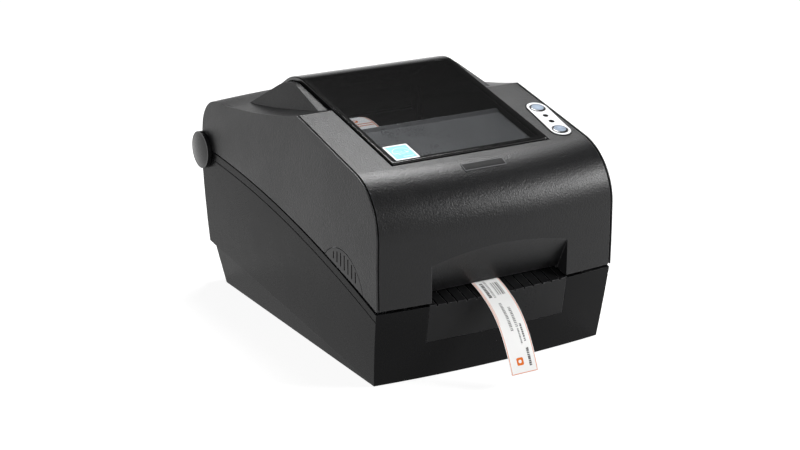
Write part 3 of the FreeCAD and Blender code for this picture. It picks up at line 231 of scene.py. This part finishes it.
# ---------------------------------------------------------------- plastics and metals
def plastic(name, colour, rough, grain=0.0, grain_size=0.5, edge_highlight=None, edge=0.4, specular=0.5,
            vary=0.12, coat=0.0, groove_shade=0.0):
    """Moulded plastic: spark-eroded grain, slow tone changes, and a highlight painted lighter along the
    edges.

    Sizes are in millimetres: grain_size of the grain, edge of the rounding, groove_shade of the reach of the
    shade painted into grooves and recesses.
    """
    n = Nodes(name)
    normal, edginess = n.soft_edge(edge * MM)
    slow = n.noise(28.0, 3.0, 0.6, seed=1.3)
    fine = n.noise(500.0 / grain_size, 2.0, 0.6, seed=4.1)
    tone = n.add(n.ramp(slow, 0.3, 0.7, 1 - vary, 1 + vary),
                 n.ramp(fine, 0.3, 0.7, -vary * 0.7, vary * 0.7))
    shown = n.shaded(colour, tone)
    # painted highlight: edges are mixed towards a lighter colour, more in some patches than others
    if edge_highlight is not None:
        shown = n.mix(n.times(edginess, n.ramp(slow, 0.25, 0.75, 0.35, 0.9)), shown, edge_highlight)
    n.give("Specular IOR Level", specular)
    if groove_shade:
        # painted shade: ambient occlusion darkens the colour and the specular in grooves and recesses
        near = n.new("AmbientOcclusion")
        near.inputs["Distance"].default_value = groove_shade * MM
        open_share = n.ramp(near.outputs["AO"], 0.45, 0.85, 0.1, 1.0)
        shown = n.mix(open_share, rgb(4), shown)
        n.give("Specular IOR Level", n.times(open_share, specular))
    n.give("Base Color", shown)
    smudge = n.patches(rough - 0.05, rough + 0.05, 14.0, 4.0, 0.65, seed=7.7)
    n.give("Roughness", n.add(smudge, n.ramp(fine, 0.3, 0.7, -0.03, 0.03)))
    if coat:
        n.give("Coat Weight", coat)
        n.give("Coat Roughness", 0.08)
    if grain:
        pits = n.add(n.cells(1000.0 / grain_size, 0.8), n.times(fine, 0.6))
        normal = n.bump(pits, grain, 0.06 * MM, normal)
        skin = n.noise(620.0 / grain_size, 3.0, 0.7, seed=11.0)
        normal = n.bump(skin, grain, 0.30 * MM, normal)
    else:
        normal = n.bump(fine, 0.05, 0.02 * MM, normal)
    n.give("Normal", normal)
    return n.material


def metal(name, colour, rough, brushed=(1, 1, 1), streak=0.3):
    """Bright or plated metal with brushing along one axis and small handling marks."""
    n = Nodes(name)
    normal, edginess = n.soft_edge(0.2 * MM)
    warp = n.new("Mapping")
    warp.inputs["Scale"].default_value = brushed
    n.feed(warp.inputs["Vector"], n.coords())
    brush = n.new("TexNoise")
    n.feed(brush.inputs["Vector"], warp.outputs[0])
    brush.inputs["Scale"].default_value = 900.0
    brush.inputs["Detail"].default_value = 3.0
    lines = brush.outputs["Fac"]
    marks = n.noise(120.0, 4.0, 0.6, seed=2.2)
    tone = n.times(n.ramp(lines, 0.3, 0.7, 1 - streak * 0.3, 1.0), n.ramp(marks, 0.3, 0.7, 0.9, 1.04))
    # painted highlight: edges are mixed towards pale grey
    n.give("Base Color", n.mix(n.times(edginess, 0.4), n.shaded(colour, tone), (0.9, 0.9, 0.9, 1)))
    n.give("Roughness", n.ramp(n.times(lines, marks), 0.1, 0.4, rough - 0.08, rough + 0.12))
    n.give("Metallic", 1.0)
    n.give("Normal", n.bump(lines, 0.12, 0.02 * MM, normal))
    return n.material


COVER = plastic("cover_plastic", rgb(22, 22, 23), 0.34, grain=0.95, grain_size=0.9,
                edge_highlight=rgb(104, 104, 106), edge=0.6, vary=0.10, specular=0.25)
BASE = plastic("base_plastic", rgb(11, 11, 12), 0.28, grain=0.14,
               edge_highlight=rgb(60, 60, 62), edge=0.5, vary=0.08, specular=0.085)
INSERT = plastic("insert_plastic", rgb(20, 20, 21), 0.30, grain=0.10, grain_size=0.4,
                 edge_highlight=rgb(112, 112, 114), edge=0.45, vary=0.08, specular=0.15, groove_shade=2.5)
FRAME = plastic("frame_plastic", rgb(30, 30, 31), 0.5, grain=0.3, grain_size=0.7,
                edge_highlight=rgb(62, 62, 64), edge=0.5)
# the carrier's edges are painted almost white as a highlight
CARRIER = plastic("carrier_plastic", rgb(50, 50, 51), 0.30, grain=0.1,
                  edge_highlight=rgb(200, 200, 202), edge=0.5)
KNOB = plastic("knob_plastic", rgb(20, 20, 21), 0.30, grain=0.05, grain_size=0.4,
               edge_highlight=rgb(60, 60, 62), specular=0.35)
RELEASE = plastic("release_plastic", rgb(18, 18, 19), 0.38, grain=0.2, grain_size=0.4,
                  edge_highlight=rgb(84, 84, 86), edge=0.35, specular=0.3, groove_shade=1.6)
GUIDE = plastic("guide_plastic", rgb(52, 52, 54), 0.5, grain=0.3, grain_size=0.6,
                edge_highlight=rgb(90, 90, 92))
LENS = plastic("lens_dark", rgb(24, 20, 22), 0.12, vary=0.05, edge=0.2, coat=0.8)
RUBBER = plastic("foot_rubber", rgb(26, 26, 27), 0.85, grain=0.5, grain_size=0.9)
PLATEN = plastic("platen_rubber", rgb(44, 44, 47), 0.7, grain=0.5, grain_size=0.25)
ACETAL = plastic("gear_acetal", rgb(226, 224, 212), 0.42, vary=0.03, edge=0.2)
PORT = plastic("port_black", rgb(26, 26, 27), 0.42, grain=0.2,
               edge_highlight=rgb(70, 70, 72), edge=0.25)
CERAMIC = plastic("head_ceramic", rgb(196, 188, 172), 0.3, vary=0.05, coat=0.3)
STEEL = metal("steel", rgb(190, 190, 192), 0.3, brushed=(8, 1, 1))
ZINC = metal("zinc_plate", rgb(186, 188, 184), 0.36, brushed=(1, 1, 6), streak=0.5)
SHELL = metal("port_shell", rgb(196, 194, 190), 0.28, streak=0.2)
ALLOY = metal("heat_alloy", rgb(200, 202, 204), 0.35, brushed=(10, 1, 1), streak=0.6)
CASE = metal("motor_case", rgb(120, 120, 122), 0.4, streak=0.4)


# ---------------------------------------------------------------- window
SMOKE_Y = (120.0, 160.0)    # the tint deepens towards the crest
CREST_TINT = 0.22
LAMP_TINT = 0.9             # what the pane lets through of the lamps' light
BORDER_X = 66.6             # the black border starts here, either side and front and rear
BORDER_Y = (43.6, 247.0)


def window_glass(name):
    """Smoked clear plastic with a black printed border: passes a dimmed view and mirrors at its face."""
    n = Nodes(name)
    x, y, _ = n.place()
    normal, _ = n.soft_edge(0.5 * MM)
    waved = n.bump(n.noise(9.0, 1.0, 0.4, seed=3.0), 0.05, 0.5 * MM, normal)
    smoke = n.times(n.patches(0.72, 0.76, 20.0, seed=9.0), n.ramp(y, *SMOKE_Y, 1.0, CREST_TINT, smooth=True))
    tint = n.larger(smoke, n.times(n.new("LightPath").outputs["Is Shadow Ray"], LAMP_TINT))
    colour = n.new("CombineColor")
    for socket, share in zip(colour.inputs, (0.98, 0.99, 1.0)):
        n.feed(socket, n.times(tint, share))
    clear = n.new("BsdfTransparent")
    n.feed(clear.inputs["Color"], colour.outputs[0])
    gloss = n.new("BsdfGlossy")
    gloss.inputs["Color"].default_value = (0.9, 0.9, 0.9, 1)
    n.feed(gloss.inputs["Roughness"], n.ramp(n.noise(700.0, 2.0, 0.6, seed=5.0), 0.35, 0.75, 0.09, 0.15))
    n.feed(gloss.inputs["Normal"], waved)
    fresnel = n.new("Fresnel")
    fresnel.inputs["IOR"].default_value = 1.5
    n.feed(fresnel.inputs["Normal"], waved)
    facing = n.minus(1.0, n.new("NewGeometry").outputs["Backfacing"])
    pane = n.blend(n.times(fresnel.outputs[0], facing), clear.outputs[0], gloss.outputs[0])
    n.give("Base Color", rgb(10))
    n.give("Roughness", n.ramp(n.noise(500.0, 2.0, 0.6, seed=8.0), 0.35, 0.75, 0.10, 0.18))
    n.give("Normal", waved)
    soft = 0.2
    sides = n.ramp(n.math("ABSOLUTE", x), BORDER_X - soft, BORDER_X + soft)
    front = n.ramp(y, BORDER_Y[0] - soft, BORDER_Y[0] + soft, 1.0, 0.0)
    rear = n.ramp(y, BORDER_Y[1] - soft, BORDER_Y[1] + soft)
    border = n.larger(sides, n.larger(front, rear))
    n.feed(n.output.inputs["Surface"], n.blend(border, pane, n.shader.outputs[0]))
    return n.material


WINDOW = window_glass("smoked_window")

# ---------------------------------------------------------------- control panel
DECK_SLOPE = math.radians(12.66)    # the deck with the panel falls this much to the front
PRESS = Vector((0.0, -math.sin(DECK_SLOPE), math.cos(DECK_SLOPE)))
BUTTON_CENTRES = [middle("feed_button"), middle("pause_button")]
BUTTON_R = 5.2                      # outside it, the dome's flange is dark
PANEL_MIDDLE = (BUTTON_CENTRES[0] + BUTTON_CENTRES[1]) / 2
PANEL_ALONG = (BUTTON_CENTRES[1] - BUTTON_CENTRES[0]).normalized()
PANEL_STRAIGHT = 19.6               # half length of the pill between its round ends
PANEL_HALF = 9.2                    # half width of the pill
PANEL_LINE = 0.75                   # dark line round the pill
LAMP_AT = 5.0                       # lamps either side of the pill's middle
LAMP_RING = 2.5                     # dark out to here round each lamp


def panel_face(name):
    """White lacquer with a dark line round its rim and dark rings round the lamps."""
    n = Nodes(name)
    away = n.from_point(PANEL_MIDDLE)
    lengthwise = n.along(away, PANEL_ALONG)
    sideways = n.along(away, PANEL_ALONG.cross(PRESS))
    past = n.larger(n.minus(n.math("ABSOLUTE", lengthwise), PANEL_STRAIGHT * MM), 0.0)
    inner = PANEL_HALF - PANEL_LINE
    dark = n.ramp(n.hypot(past, sideways), (inner - 0.1) * MM, (inner + 0.1) * MM)
    for side in (-1, 1):
        ring = n.hypot(n.minus(lengthwise, side * LAMP_AT * MM), sideways)
        dark = n.larger(dark, n.ramp(ring, (LAMP_RING - 0.05) * MM, (LAMP_RING + 0.1) * MM, 1.0, 0.0))
    white = n.shaded(rgb(226, 227, 229), n.patches(0.96, 1.0, 50.0, seed=2.0))
    n.give("Base Color", n.mix(dark, white, rgb(22)))
    n.give("Roughness", n.patches(0.34, 0.44, 300.0, seed=4.0))
    bevel, _ = n.soft_edge(0.3 * MM)
    n.give("Normal", n.bump(n.noise(1500.0, 2.0, 0.6, seed=5.0), 0.04, 0.02 * MM, bevel))
    return n.material


def button_face(name):
    """Silver-blue lacquered dome; the flange outside it, behind the panel, is dark."""
    n = Nodes(name)
    off = []
    for centre in BUTTON_CENTRES:
        away = n.from_point(centre)
        length = n.vector("LENGTH", away)["Value"]
        square = n.minus(n.math("POWER", length, 2.0), n.math("POWER", n.along(away, PRESS), 2.0))
        off.append(n.math("SQRT", n.larger(square, 0.0)))
    nearest = n.math("MINIMUM", *off)
    flange = n.ramp(nearest, (BUTTON_R - 0.25) * MM, (BUTTON_R - 0.05) * MM)
    # painted shade: the silver darkens from the dome's middle out to its rim
    tone = n.ramp(nearest, 0.0, BUTTON_R * MM, 1.0, 0.72)
    silver = n.shaded(rgb(158, 172, 190), n.times(tone, n.patches(0.94, 1.04, 900.0, 2.0, 0.6, seed=3.0)))
    n.give("Base Color", n.mix(flange, silver, rgb(18)))
    n.give("Roughness", n.patches(0.22, 0.32, 60.0, seed=4.0))
    n.give("Metallic", n.times(n.minus(1.0, flange), 0.35))
    n.give("Coat Weight", 0.5)
    n.give("Coat Roughness", 0.08)
    bevel, _ = n.soft_edge(0.3 * MM)
    n.give("Normal", n.bump(n.noise(1500.0, 2.0, 0.6, seed=5.0), 0.04, 0.02 * MM, bevel))
    return n.material


PANEL = panel_face("panel_white")
BUTTON = button_face("button_silver")


# ---------------------------------------------------------------- boards
def board(name):
    """Solder-masked board with copper tracks showing through the mask."""
    n = Nodes(name)
    tracks = n.new("TexBrick")
    n.feed(tracks.inputs["Vector"], n.coords())
    tracks.inputs["Scale"].default_value = 160.0
    tracks.inputs["Mortar Size"].default_value = 0.035
    tracks.inputs["Color1"].default_value = (0.004, 0.060, 0.022, 1)
    tracks.inputs["Color2"].default_value = (0.006, 0.075, 0.028, 1)
    tracks.inputs["Mortar"].default_value = (0.012, 0.120, 0.045, 1)
    stain = n.ramp(n.noise(60.0), 0.35, 0.65, 0.0, 0.35)
    n.give("Base Color", n.mix(stain, tracks.outputs["Color"], (0.003, 0.045, 0.02, 1)))
    n.give("Roughness", n.patches(0.25, 0.45, 240.0))
    n.give("Normal", n.bump(tracks.outputs["Fac"], 0.2, 0.05 * MM))
    return n.material


def card(name):
    """Wound board: pale brown with spiral plies and fibres."""
    n = Nodes(name)
    fibre = n.noise(900.0, 4.0, 0.7, seed=2.0)
    x, _, z = n.place()
    ply = n.math("SINE", n.times(n.add(x, n.times(z, 0.5)), 0.9))
    tone = n.add(n.ramp(fibre, 0.3, 0.7, 0.85, 1.1), n.times(ply, 0.03))
    n.give("Base Color", n.shaded(rgb(176, 142, 104), tone))
    n.give("Roughness", 0.85)
    n.give("Normal", n.bump(fibre, 0.3, 0.08 * MM))
    return n.material


BOARD = board("circuit_board")
CARD = card("core_board")

# ---------------------------------------------------------------- paper
PAPER = rgb(242, 242, 241)
ORANGE = rgb(218, 106, 12)
INK = rgb(36, 36, 38)
MEDIA_X = middle("label_roll").x / MM
ROLL_Y = (middle("label_roll").y - Y_FRONT) / MM
ROLL_Z = middle("label_roll").z / MM
ROLL_R = 58.0               # of the outer turn
LABEL_HALF = 12.0           # half the width of a label
RULE_IN = 1.1               # the roll's side rules from the paper's edge
LABELS_ROUND = 7            # labels in one turn of the roll
LABEL_PHASE = 0.28          # share of a label by which the print is turned round the roll
CROSS_AT = 12.0             # the pair of rules between two labels, along the web
CROSS_HALF = 1.7
ROUNDEL = (-3.5, 3.0, 2.6)  # across from the middle, along, and radius of the roll's ring motif
# arcs (radius, slope where it ends) in which the strip falls, and its rise from the platen's axis
STRIP_ARCS = ((62.0, 22.5), (110.0, 30.0), (64.0, 56.0), (145.0, 68.0))
STRIP_RISE = 8.1
FRAME_RULE = 0.75           # the strip's orange rule from the label's edge
SECOND_RULE = 1.9           # a second one along its left side
TILE_AT = (-2.2, 9.6)       # orange tile: across from the middle, up from the free end
TILE_HALF = 3.0
# dark print: across from, to; up from the free end from, to; dash pitch, share inked, tone
PRINT = (
    (-7.5, -4.6, 64.0, 82.0, 1.9, 0.75, 0.92),
    (-3.4, -1.4, 64.0, 84.0, 1.6, 0.6, 0.6),
    (-3.0, -0.6, 33.0, 58.0, 1.4, 0.55, 0.85),
    (2.2, 4.6, 36.0, 54.0, 1.5, 0.5, 0.85),
    (5.8, 7.4, 24.0, 38.0, 1.7, 0.7, 0.95),
    (2.6, 4.0, 22.0, 35.0, 1.2, 0.55, 0.9),
    (5.4, 7.6, 5.0, 19.0, 1.6, 0.8, 0.9),
)
BAR_CODE = (1.0, 9.0, 66.0, 80.0)


def strip_corners():
    """Corners (height, length) down the strip from the nip, from the arcs that it falls in."""
    z = middle("platen_shaft").z / MM + STRIP_RISE
    length = 0.0
    corners = [(z, length)]
    slope = 0.0
    steps = 4
    for radius, end in STRIP_ARCS:
        for i in range(steps):
            before = math.radians(slope + (end - slope) * i / steps)
            after = math.radians(slope + (end - slope) * (i + 1) / steps)
            z -= radius * (math.cos(before) - math.cos(after))
            length += radius * (after - before)
            corners.append((z, length))
        slope = end
    return corners


def up_from_end(n, z):
    """Length along the strip from its free end, read from the height."""
    corners = strip_corners()
    top, bottom = corners[0][0], corners[-1][0]
    longest = corners[-1][1]
    curve = n.new("FloatCurve")
    points = curve.mapping.curves[0].points
    ordered = sorted(((top - height) / (top - bottom), length / longest) for height, length in corners)
    points[0].location = ordered[0]
    points[1].location = ordered[-1]
    for spot in ordered[1:-1]:
        points.new(*spot)
    for point in points:
        point.handle_type = "VECTOR"
    curve.mapping.update()
    n.feed(curve.inputs["Value"], n.ramp(z, top, bottom))
    return n.minus(longest, n.times(curve.outputs[0], longest))


def strip_rules(n, u, end):
    """Orange on the strip: a rule round the label, a second one on the left, and the tile."""
    edge = n.math("MINIMUM", n.minus(LABEL_HALF, n.math("ABSOLUTE", u)), end)
    orange = n.ramp(n.gap(edge, FRAME_RULE), 0.16, 0.32, 1.0, 0.0)
    second = n.ramp(n.gap(u, SECOND_RULE - LABEL_HALF), 0.12, 0.26, 0.8, 0.0)
    orange = n.larger(orange, n.times(second, n.ramp(end, 38.0, 44.0)))
    mark_u, mark_s = n.gap(u, TILE_AT[0]), n.gap(end, TILE_AT[1])
    corner = n.add(n.math("POWER", n.times(mark_u, 1 / TILE_HALF), 6.0),
                   n.math("POWER", n.times(mark_s, 1 / TILE_HALF), 6.0))
    tile = n.ramp(corner, 0.85, 1.1, 1.0, 0.0)
    return n.larger(orange, n.times(tile, n.ramp(n.hypot(mark_u, mark_s), 1.2, 1.5)))


def strip_ink(n, u, end):
    """Dark print on the strip: rows of dashes and a block of bars, without any real word."""
    ink = 0.0
    for u0, u1, s0, s1, pitch, inked, tone in PRINT:
        wobble = n.ramp(n.noise(420.0, 1.0, 0.5, seed=pitch), 0.35, 0.65, inked - 0.2, inked + 0.2)
        dash = n.math("LESS_THAN", n.math("FRACT", n.times(end, 1.0 / pitch)), wobble)
        row = n.times(n.box_mask(u, end, u0, u1, s0, s1, 0.08), dash)
        ink = n.larger(ink, n.times(row, tone))
    width = n.ramp(n.math("SINE", n.times(u, 2.3)), -1.0, 1.0, 0.25, 0.75)
    bars = n.math("LESS_THAN", n.math("FRACT", n.times(u, 0.55)), width)
    return n.larger(ink, n.times(n.times(n.box_mask(u, end, *BAR_CODE, 0.08), bars), 0.9))


def roll_rules(n, u, y, z):
    """Orange on the roll's outer turn, and how light the paper is: its ends show their layers."""
    across = n.math("ABSOLUTE", u)
    dy, dz = n.minus(y, ROLL_Y), n.minus(z, ROLL_Z)
    turn = n.times(n.math("ARCTAN2", dz, dy), LABELS_ROUND / (2 * math.pi))
    spot = n.times(n.math("FRACT", n.add(turn, LABEL_PHASE)), 2 * math.pi * ROLL_R / LABELS_ROUND)
    rule_at = LABEL_HALF - RULE_IN
    rule = n.ramp(n.gap(across, rule_at), 0.4, 0.6, 1.0, 0.0)
    cross = n.ramp(n.gap(n.gap(spot, CROSS_AT), CROSS_HALF), 0.5, 0.75, 1.0, 0.0)
    line = n.larger(rule, n.times(cross, n.ramp(across, rule_at, rule_at + 0.2, 1.0, 0.0)))
    ring = n.hypot(n.minus(u, ROUNDEL[0]), n.minus(spot, ROUNDEL[1]))
    line = n.larger(line, n.ramp(n.gap(ring, ROUNDEL[2]), 0.9, 1.2, 1.0, 0.0))
    outer = n.ramp(across, LABEL_HALF - 0.25, LABEL_HALF - 0.1, 1.0, 0.0)
    plies = n.ramp(n.math("SINE", n.times(n.hypot(dy, dz), 14.0)), -1.0, 1.0, 0.80, 1.0)
    return n.times(line, outer), n.add(outer, n.times(n.minus(1.0, outer), plies))


def paper(name, rolled):
    """Coated white label paper with thin orange rules, wound on the roll or out as the strip."""
    n = Nodes(name)
    x, y, z = n.place()
    u = n.minus(x, MEDIA_X)
    if rolled:
        orange, tone = roll_rules(n, u, y, z)
        shown = n.mix(orange, n.shaded(PAPER, tone), ORANGE)
    else:
        end = up_from_end(n, z)
        tone = n.patches(0.97, 1.0, 40.0, seed=2.0)
        shown = n.mix(strip_rules(n, u, end), n.shaded(PAPER, tone), ORANGE)
        shown = n.mix(strip_ink(n, u, end), shown, INK)
    n.give("Base Color", shown)
    n.give("Roughness", n.patches(0.42, 0.56, 300.0, 3.0, 0.6, seed=6.0))
    n.give("Specular IOR Level", 0.15)
    n.give("Normal", n.bump(n.noise(2500.0, 3.0, 0.7, seed=1.0), 0.06, 0.02 * MM))
    return n.material


ROLL_PAPER = paper("roll_paper", True)
STRIP_PAPER = paper("strip_paper", False)

# ---------------------------------------------------------------- looks of the CAD nodes
LOOKS = {
    COVER: ["top_cover"],
    BASE: ["base_housing"],
    INSERT: ["exit_panel"],
    FRAME: ["bottom_plate", "bush_plate", "inner_frame", "light_shields", "media_well"],
    CARRIER: ["head_carrier"],
    KNOB: ["hinge_cap_left", "hinge_cap_right"],
    RELEASE: ["release_button_left", "release_button_right"],
    GUIDE: ["media_guide_left", "media_guide_right"],
    PANEL: ["control_panel"],
    BUTTON: ["feed_button", "pause_button"],
    LENS: ["status_lights"],
    RUBBER: ["rubber_feet"],
    PLATEN: ["platen_roller"],
    ACETAL: ["centring_pinion", "idler_gear", "motor_pinion", "platen_gear", "platen_bushes"],
    PORT: ["power_jack", "power_rocker", "switch_frame"],
    STEEL: ["case_screws", "head_pivot", "latch_hook_left", "latch_hook_right", "motor_shaft",
            "pinion_stud", "platen_shaft", "tear_bar"],
    ZINC: ["drive_plate", "latch_bracket_left", "latch_bracket_right", "rear_panel"],
    SHELL: ["network_port", "serial_port", "usb_port"],
    ALLOY: ["head_heatsink"],
    CASE: ["drive_motor"],
    CERAMIC: ["print_head"],
    WINDOW: ["window"],
    BOARD: ["interface_board", "main_board", "panel_board"],
    CARD: ["roll_core"],
    ROLL_PAPER: ["label_roll"],
    STRIP_PAPER: ["label_strip"],
}
for material, names in LOOKS.items():
    for name in names:
        for slot in NODES[name].material_slots:
            slot.material = material


# ---------------------------------------------------------------- sticker and plate
SINK = 0.02                 # the sheets' undersides stand this far off the face below


def add_object(name, mesh, material):
    mesh.materials.append(material)
    made = bpy.data.objects.new(name, mesh)
    bpy.context.scene.collection.objects.link(made)
    return made


def surface_above(node):
    """Finds a node's topmost point over a spot of the row frame."""
    tree = BVHTree.FromObject(NODES[node], bpy.context.evaluated_depsgraph_get())
    matrix = NODES[node].matrix_world
    inverse = matrix.inverted()

    def find(x, y):
        start = inverse @ Vector((x, y, 1.0))
        hit, normal, _, _ = tree.ray_cast(start, inverse.to_3x3() @ Vector((0, 0, -1)))
        return matrix @ hit, (matrix.to_3x3() @ normal).normalized()

    return find


def rounded(px, py, size, corner):
    """Pulls a point of a sheet's grid in where it would lie outside the rounded corner."""
    straight_x, straight_y = size[0] / 2 - corner, size[1] / 2 - corner
    over = Vector((max(abs(px) - straight_x, 0), max(abs(py) - straight_y, 0)))
    if over.length <= corner:
        return px, py
    pull = over * (corner / over.length)
    return math.copysign(straight_x + pull.x, px), math.copysign(straight_y + pull.y, py)


def draped(name, node, centre, size, thick, corner, material, cuts=12):
    """Thin sheet with rounded corners that lies on a node's top face; its UV map runs 0 to 1."""
    find = surface_above(node)
    sheet = bmesh.new()
    grid_u, grid_v = cuts, max(4, round(cuts * size[1] / size[0]))
    uv = sheet.loops.layers.uv.new("sheet")
    low, high = {}, {}
    for layer, rise in ((low, SINK), (high, thick)):
        for i in range(grid_u + 1):
            for j in range(grid_v + 1):
                u, v = i / grid_u, j / grid_v
                px, py = rounded((u - 0.5) * size[0], (v - 0.5) * size[1], size, corner)
                spot = at(centre[0] + px, centre[1] + py, 0)
                place, normal = find(spot.x, spot.y)
                layer[i, j] = (sheet.verts.new(place + normal * rise * MM), (u, v))

    def face(*corners):
        made = sheet.faces.new([vert for vert, _ in corners])
        for loop, (_, where) in zip(made.loops, corners):
            loop[uv].uv = where

    for i in range(grid_u):
        for j in range(grid_v):
            face(high[i, j], high[i + 1, j], high[i + 1, j + 1], high[i, j + 1])
            face(low[i, j], low[i, j + 1], low[i + 1, j + 1], low[i + 1, j])
    rim = [(i, 0) for i in range(grid_u)] + [(grid_u, j) for j in range(grid_v)]
    rim += [(i, grid_v) for i in range(grid_u, 0, -1)] + [(0, j) for j in range(grid_v, 0, -1)]
    for a, b in zip(rim, rim[1:] + rim[:1]):
        face(low[a], low[b], high[b], high[a])
    mesh = bpy.data.meshes.new(name)
    sheet.to_mesh(mesh)
    sheet.free()
    return add_object(name, mesh, material)


def sheet_place(n):
    """U and V of a draped sheet, 0 to 1."""
    split = n.new("SeparateXYZ")
    n.feed(split.inputs[0], n.new("TexCoord").outputs["UV"])
    return split.outputs[0], split.outputs[1]


def sticker_print(name):
    """Pale blue field with a white margin, a white arc and a few fine pale strokes."""
    n = Nodes(name)
    u, v = sheet_place(n)
    field = n.box_mask(u, v, 0.065, 0.935, 0.065, 0.935, 0.006)
    du = n.minus(u, 0.52)
    dv = n.times(n.minus(v, 0.50), 1.25)
    arc = n.ramp(n.gap(n.hypot(du, dv), 0.36), 0.006, 0.016, 1.0, 0.0)
    arc = n.times(arc, n.ramp(n.add(dv, n.times(du, -0.4)), -0.14, -0.02))
    strokes = n.new("TexWave", wave_type="BANDS", bands_direction="DIAGONAL")
    strokes.inputs["Scale"].default_value = 3.2
    strokes.inputs["Distortion"].default_value = 7.0
    strokes.inputs["Detail"].default_value = 1.5
    n.feed(strokes.inputs["Vector"], n.new("TexCoord").outputs["UV"])
    fine = n.times(n.ramp(strokes.outputs["Fac"], 0.86, 0.94),
                   n.box_mask(u, v, 0.20, 0.80, 0.34, 0.58, 0.03))
    foot = n.times(n.box_mask(u, v, 0.42, 0.86, 0.17, 0.21, 0.01),
                   n.math("LESS_THAN", n.math("FRACT", n.times(u, 22.0)), 0.6))
    white = n.larger(arc, n.larger(n.times(fine, 0.8), foot))
    blue = n.mix(n.patches(0.0, 1.0, 60.0, seed=3.0), rgb(86, 172, 218), rgb(104, 186, 226))
    printed = n.mix(white, blue, rgb(206, 226, 238))
    n.give("Base Color", n.mix(field, rgb(226, 230, 233), printed))
    n.give("Roughness", n.patches(0.30, 0.42, 200.0, seed=5.0))
    n.give("Normal", n.bump(n.noise(900.0, seed=6.0), 0.05, 0.02 * MM))
    return n.material


def plate_face(name):
    """Bare plate: satin black field inside a fine paler rim."""
    n = Nodes(name)
    u, v = sheet_place(n)
    field = n.box_mask(u, v, 0.018, 0.982, 0.09, 0.91, 0.006)
    n.give("Base Color", n.mix(field, rgb(84, 84, 86), rgb(14, 14, 15)))
    n.give("Roughness", n.patches(0.50, 0.58, 180.0, 3.0, 0.6, seed=2.0))
    n.give("Specular IOR Level", 0.12)
    n.give("Normal", n.bump(n.noise(1200.0, 2.0, 0.6, seed=3.0), 0.1, 0.03 * MM))
    return n.material


sticker = draped("blue_sticker", "window", centre=(-55.2, 53.4), size=(21.0, 21.6), thick=0.12,
                 corner=0.5, material=sticker_print("sticker_print"))
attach(sticker, "cover")
plate = draped("bare_plate", "top_cover", centre=(-0.6, 22.6), size=(37.5, 7.4), thick=0.45,
               corner=0.5, material=plate_face("plate_black"), cuts=36)
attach(plate, "cover")

# ---------------------------------------------------------------- stage
FLOOR_HALF = 6.0            # metres
FLOOR_GLOW = 0.88
CEILING = 0.05              # how bright the ceiling is beside the white sweep
SWEEP_Z = (0.02, 0.46)      # rise of the direction over which the sweep darkens to the ceiling
AMBIENT = 0.75              # share of the sweep that lights the object


def floor_material():
    """Pale floor: white to the eye and in mirrors, and it keeps the object's shadow."""
    n = Nodes("floor_white")
    n.give("Base Color", (0.28, 0.28, 0.28, 1))
    n.give("Roughness", 0.9)
    n.give("Specular IOR Level", 0.1)
    n.give("Emission Color", (1, 1, 1, 1))
    n.give("Emission Strength", n.times(n.seen(), FLOOR_GLOW))
    return n.material


floor_mesh = bpy.data.meshes.new("floor")
floor_mesh.from_pydata([(x * FLOOR_HALF, y * FLOOR_HALF, 0) for x, y in ((-1, -1), (1, -1), (1, 1), (-1, 1))],
                       [], [(0, 1, 2, 3)])
floor = add_object("floor", floor_mesh, floor_material())


def light(name, place, target, size, power):
    data = bpy.data.lights.new(name, "AREA")
    data.shape = "RECTANGLE"
    data.size, data.size_y = size
    data.energy = power
    lamp = bpy.data.objects.new(name, data)
    lamp.location = place
    lamp.rotation_euler = (Vector(target) - Vector(place)).to_track_quat("-Z", "Y").to_euler()
    bpy.context.scene.collection.objects.link(lamp)


light("key_over", (0.43, 0.56, 1.37), (-0.06, -0.09, 0.17), (0.55, 0.40), 26)
light("band_right", (1.15, -0.95, 0.72), (0.05, -0.12, 0.12), (0.50, 0.34), 22)
light("fill_front", (-1.9, -0.95, 0.95), (0, -0.1, 0.08), (1.2, 1.2), 22)

# white sweep up to a little over the horizon, then a dim ceiling between the lamps
world = bpy.data.worlds.new("studio")
world.use_nodes = True
w = Tree(world.node_tree)
direction = w.new("SeparateXYZ")
w.feed(direction.inputs[0], w.new("TexCoord").outputs["Generated"])
sweep = w.ramp(direction.outputs[2], *SWEEP_Z, 1.0, CEILING, smooth=True)
glow = w.add(w.times(w.seen(), 1.0 - AMBIENT), AMBIENT)
background = w.tree.nodes["Background"]
background.inputs["Color"].default_value = (1, 1, 1, 1)
w.feed(background.inputs["Strength"], w.times(glow, sweep))
bpy.context.scene.world = world

# ---------------------------------------------------------------- camera
CAMERA_AT = (-768.64, -1162.20, 590.05)
CAMERA_RIGHT = Vector((0.8619, -0.5072, 0.0019))
CAMERA_UP = Vector((0.1609, 0.2769, 0.9473))
camera_data = bpy.data.cameras.new("camera")
camera_data.sensor_width = 36.0
camera_data.lens = 87.27
camera_data.shift_x = -0.0055
camera_data.shift_y = -0.0060
camera = bpy.data.objects.new("camera", camera_data)
bpy.context.scene.collection.objects.link(camera)
right = CAMERA_RIGHT.normalized()
up = (CAMERA_UP - right * CAMERA_UP.dot(right)).normalized()
back = right.cross(up)
camera.matrix_world = Matrix.Translation(at(*CAMERA_AT)) @ Matrix((right, up, back)).transposed().to_4x4()
bpy.context.scene.camera = camera
bpy.context.scene.view_settings.view_transform = "Standard"
